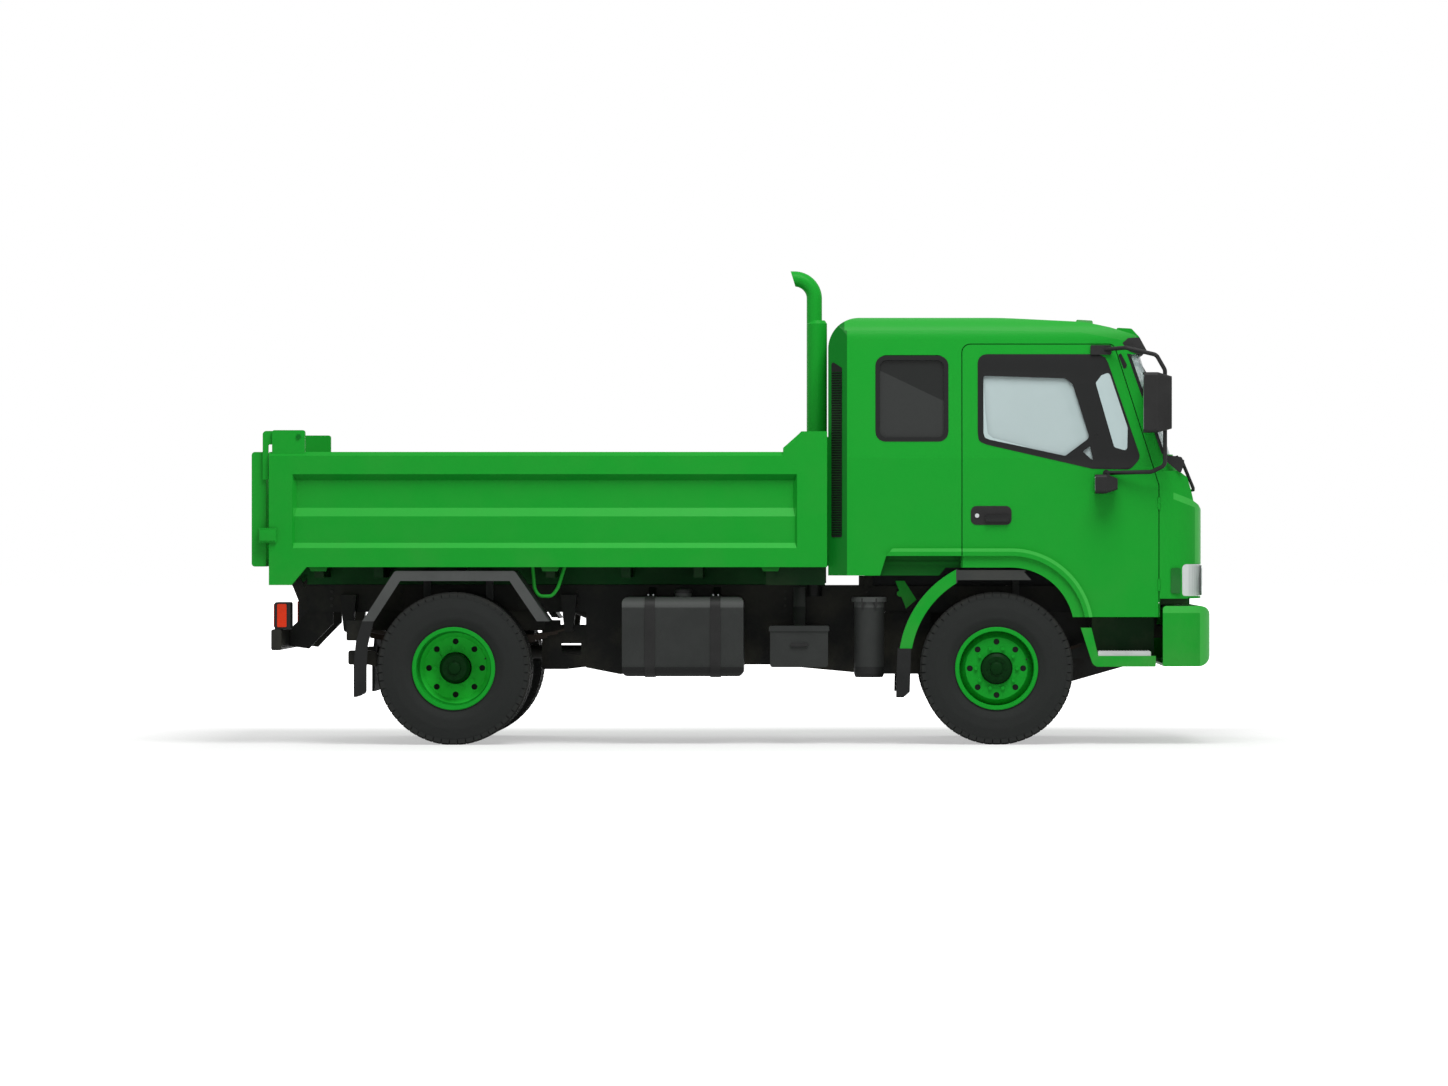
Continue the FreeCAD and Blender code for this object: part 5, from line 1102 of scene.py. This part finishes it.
CHAMBER = [(0, 0), (0, 60), (20, 78), (70, 82), (110, 80), (130, 55), (130, 0)]
DAMPER = [(0, 0), (0, 26), (210, 26), (210, 0)]
DAMPER_X, DAMPER_Y = 1880, 452
HOOP = ((-1318, 1178), (-1306, 1030), (-1275, 985), (-1190, 985), (-1150, 1040), (-1107, 1178))
for where, side in SIDES:
    lathe(f"{where}_brake_chamber", CHASSIS, cast_metal, CHAMBER, (-1625, side * 300, 650), "X")
    y = side * DAMPER_Y
    pipe(f"{where}_front_damper_rod", CHASSIS, bright_steel, [(DAMPER_X, y, 640), (DAMPER_X, y, 960)], 9)
    lathe(f"{where}_front_damper", CHASSIS, frame_black, DAMPER, (DAMPER_X, y, 690), "Z", 24)
    # the hoop under the bed and the bolts of the tailgate's pivots
    pipe(f"{where}_bed_hoop", "bed", bed_paint, [(x, side * 1040, z) for x, z in HOOP], 12, 25)
    pivot = dict(count=1, at=(-2865, side * 1142, 2041), size=(17, 10, 0), turn=ALONG_Y)
    repeat(f"{where}_gate_post_bolts", "bed", clip_paint, "nut", [pivot])


# Floor, light and camera

FLOOR_GREY, FLOOR_GLOW, NEAR_SHARE = 0.75, 1.8, 0.25
CLEAR_X, CLEAR_Y, FADE = 3.4, 2.5, 5.0  # the glow grows past these distances, in metres
FLOOR_REACH = 160.0
WORLD_LEVEL = 0.45
WHITE = (1, 1, 1, 1)


def seen_rays(nodes, links):
    """1 for the rays that see the background: camera, glossy and transmission."""
    path = nodes.new("ShaderNodeLightPath")
    total = path.outputs["Is Camera Ray"]
    for name in ("Is Glossy Ray", "Is Transmission Ray"):
        most = nodes.new("ShaderNodeMath")
        most.operation = "MAXIMUM"
        links.new(total, most.inputs[0])
        links.new(path.outputs[name], most.inputs[1])
        total = most.outputs[0]
    return total


def studio_floor():
    """A matt pale floor that turns white away from the truck, for the rays that see the background."""
    f = Finish("studio floor")
    f.set(Base_Color=(FLOOR_GREY, FLOOR_GREY, FLOOR_GREY, 1), Roughness=0.9, Specular_IOR_Level=0.1)
    glow = f.nodes.new("ShaderNodeEmission")
    glow.inputs["Color"].default_value = WHITE
    glow.inputs["Strength"].default_value = FLOOR_GLOW
    far_x = (f.at("X").size() - CLEAR_X).ramp(0.0, FADE)
    far_y = (f.at("Y").size() - CLEAR_Y).ramp(0.0, FADE)
    far = far_x.math("MAXIMUM", far_y) * (1 - NEAR_SHARE) + NEAR_SHARE
    blend = f.nodes.new("ShaderNodeMixShader")
    f.feed(blend.inputs[0], Wire(f, seen_rays(f.nodes, f.links)) * far)
    f.links.new(f.surface.outputs[0], blend.inputs[1])
    f.links.new(glow.outputs[0], blend.inputs[2])
    f.links.new(blend.outputs[0], f.nodes["Material Output"].inputs[0])
    mesh = bpy.data.meshes.new("studio_floor")
    r = FLOOR_REACH
    mesh.from_pydata([(-r, -r, 0), (r, -r, 0), (r, r, 0), (-r, r, 0)], [], [(0, 1, 2, 3)])
    mesh.materials.append(f.material)
    floor = bpy.data.objects.new("studio_floor", mesh)
    bpy.context.scene.collection.objects.link(floor)
    return floor


floor = studio_floor()

world = bpy.data.worlds.new("studio")
bpy.context.scene.world = world
world.use_nodes = True
tree = world.node_tree
back = tree.nodes["Background"]
level = tree.nodes.new("ShaderNodeMix")
level.data_type = "FLOAT"
tree.links.new(seen_rays(tree.nodes, tree.links), level.inputs[0])
level.inputs[2].default_value = WORLD_LEVEL
level.inputs[3].default_value = 1.0
tree.links.new(level.outputs[0], back.inputs["Strength"])
back.inputs["Color"].default_value = WHITE


def lamp(name, size, power, place, target):
    """A round lamp at a place that faces a target."""
    light = bpy.data.lights.new(name, "AREA")
    light.shape, light.size, light.energy = "DISK", size, power
    holder = bpy.data.objects.new(name, light)
    bpy.context.scene.collection.objects.link(holder)
    holder.location = place
    holder.rotation_euler = (Vector(target) - Vector(place)).to_track_quat("-Z", "Y").to_euler()


lamp("key light", 9.0, 1500.0, (2.5, -8.0, 13.0), (0.2, 0.0, 1.2))
lamp("fill light", 12.0, 320.0, (-8.0, 9.0, 9.0), (0.0, 0.0, 1.0))

CAMERA_PLACE = (0.789, -45.75, 1.3375)
CAMERA_LENS, CAMERA_SHIFT, CAMERA_REACH = 167.5, -0.0872, 400
view = bpy.data.cameras.new("side camera")
view.lens, view.sensor_width, view.shift_x = CAMERA_LENS, 36.0, CAMERA_SHIFT
view.clip_end = CAMERA_REACH
camera = bpy.data.objects.new("side camera", view)
bpy.context.scene.collection.objects.link(camera)
camera.location = CAMERA_PLACE
camera.rotation_euler = (math.radians(90), 0, 0)
bpy.context.scene.camera = camera
bpy.context.scene.view_settings.view_transform = "Standard"
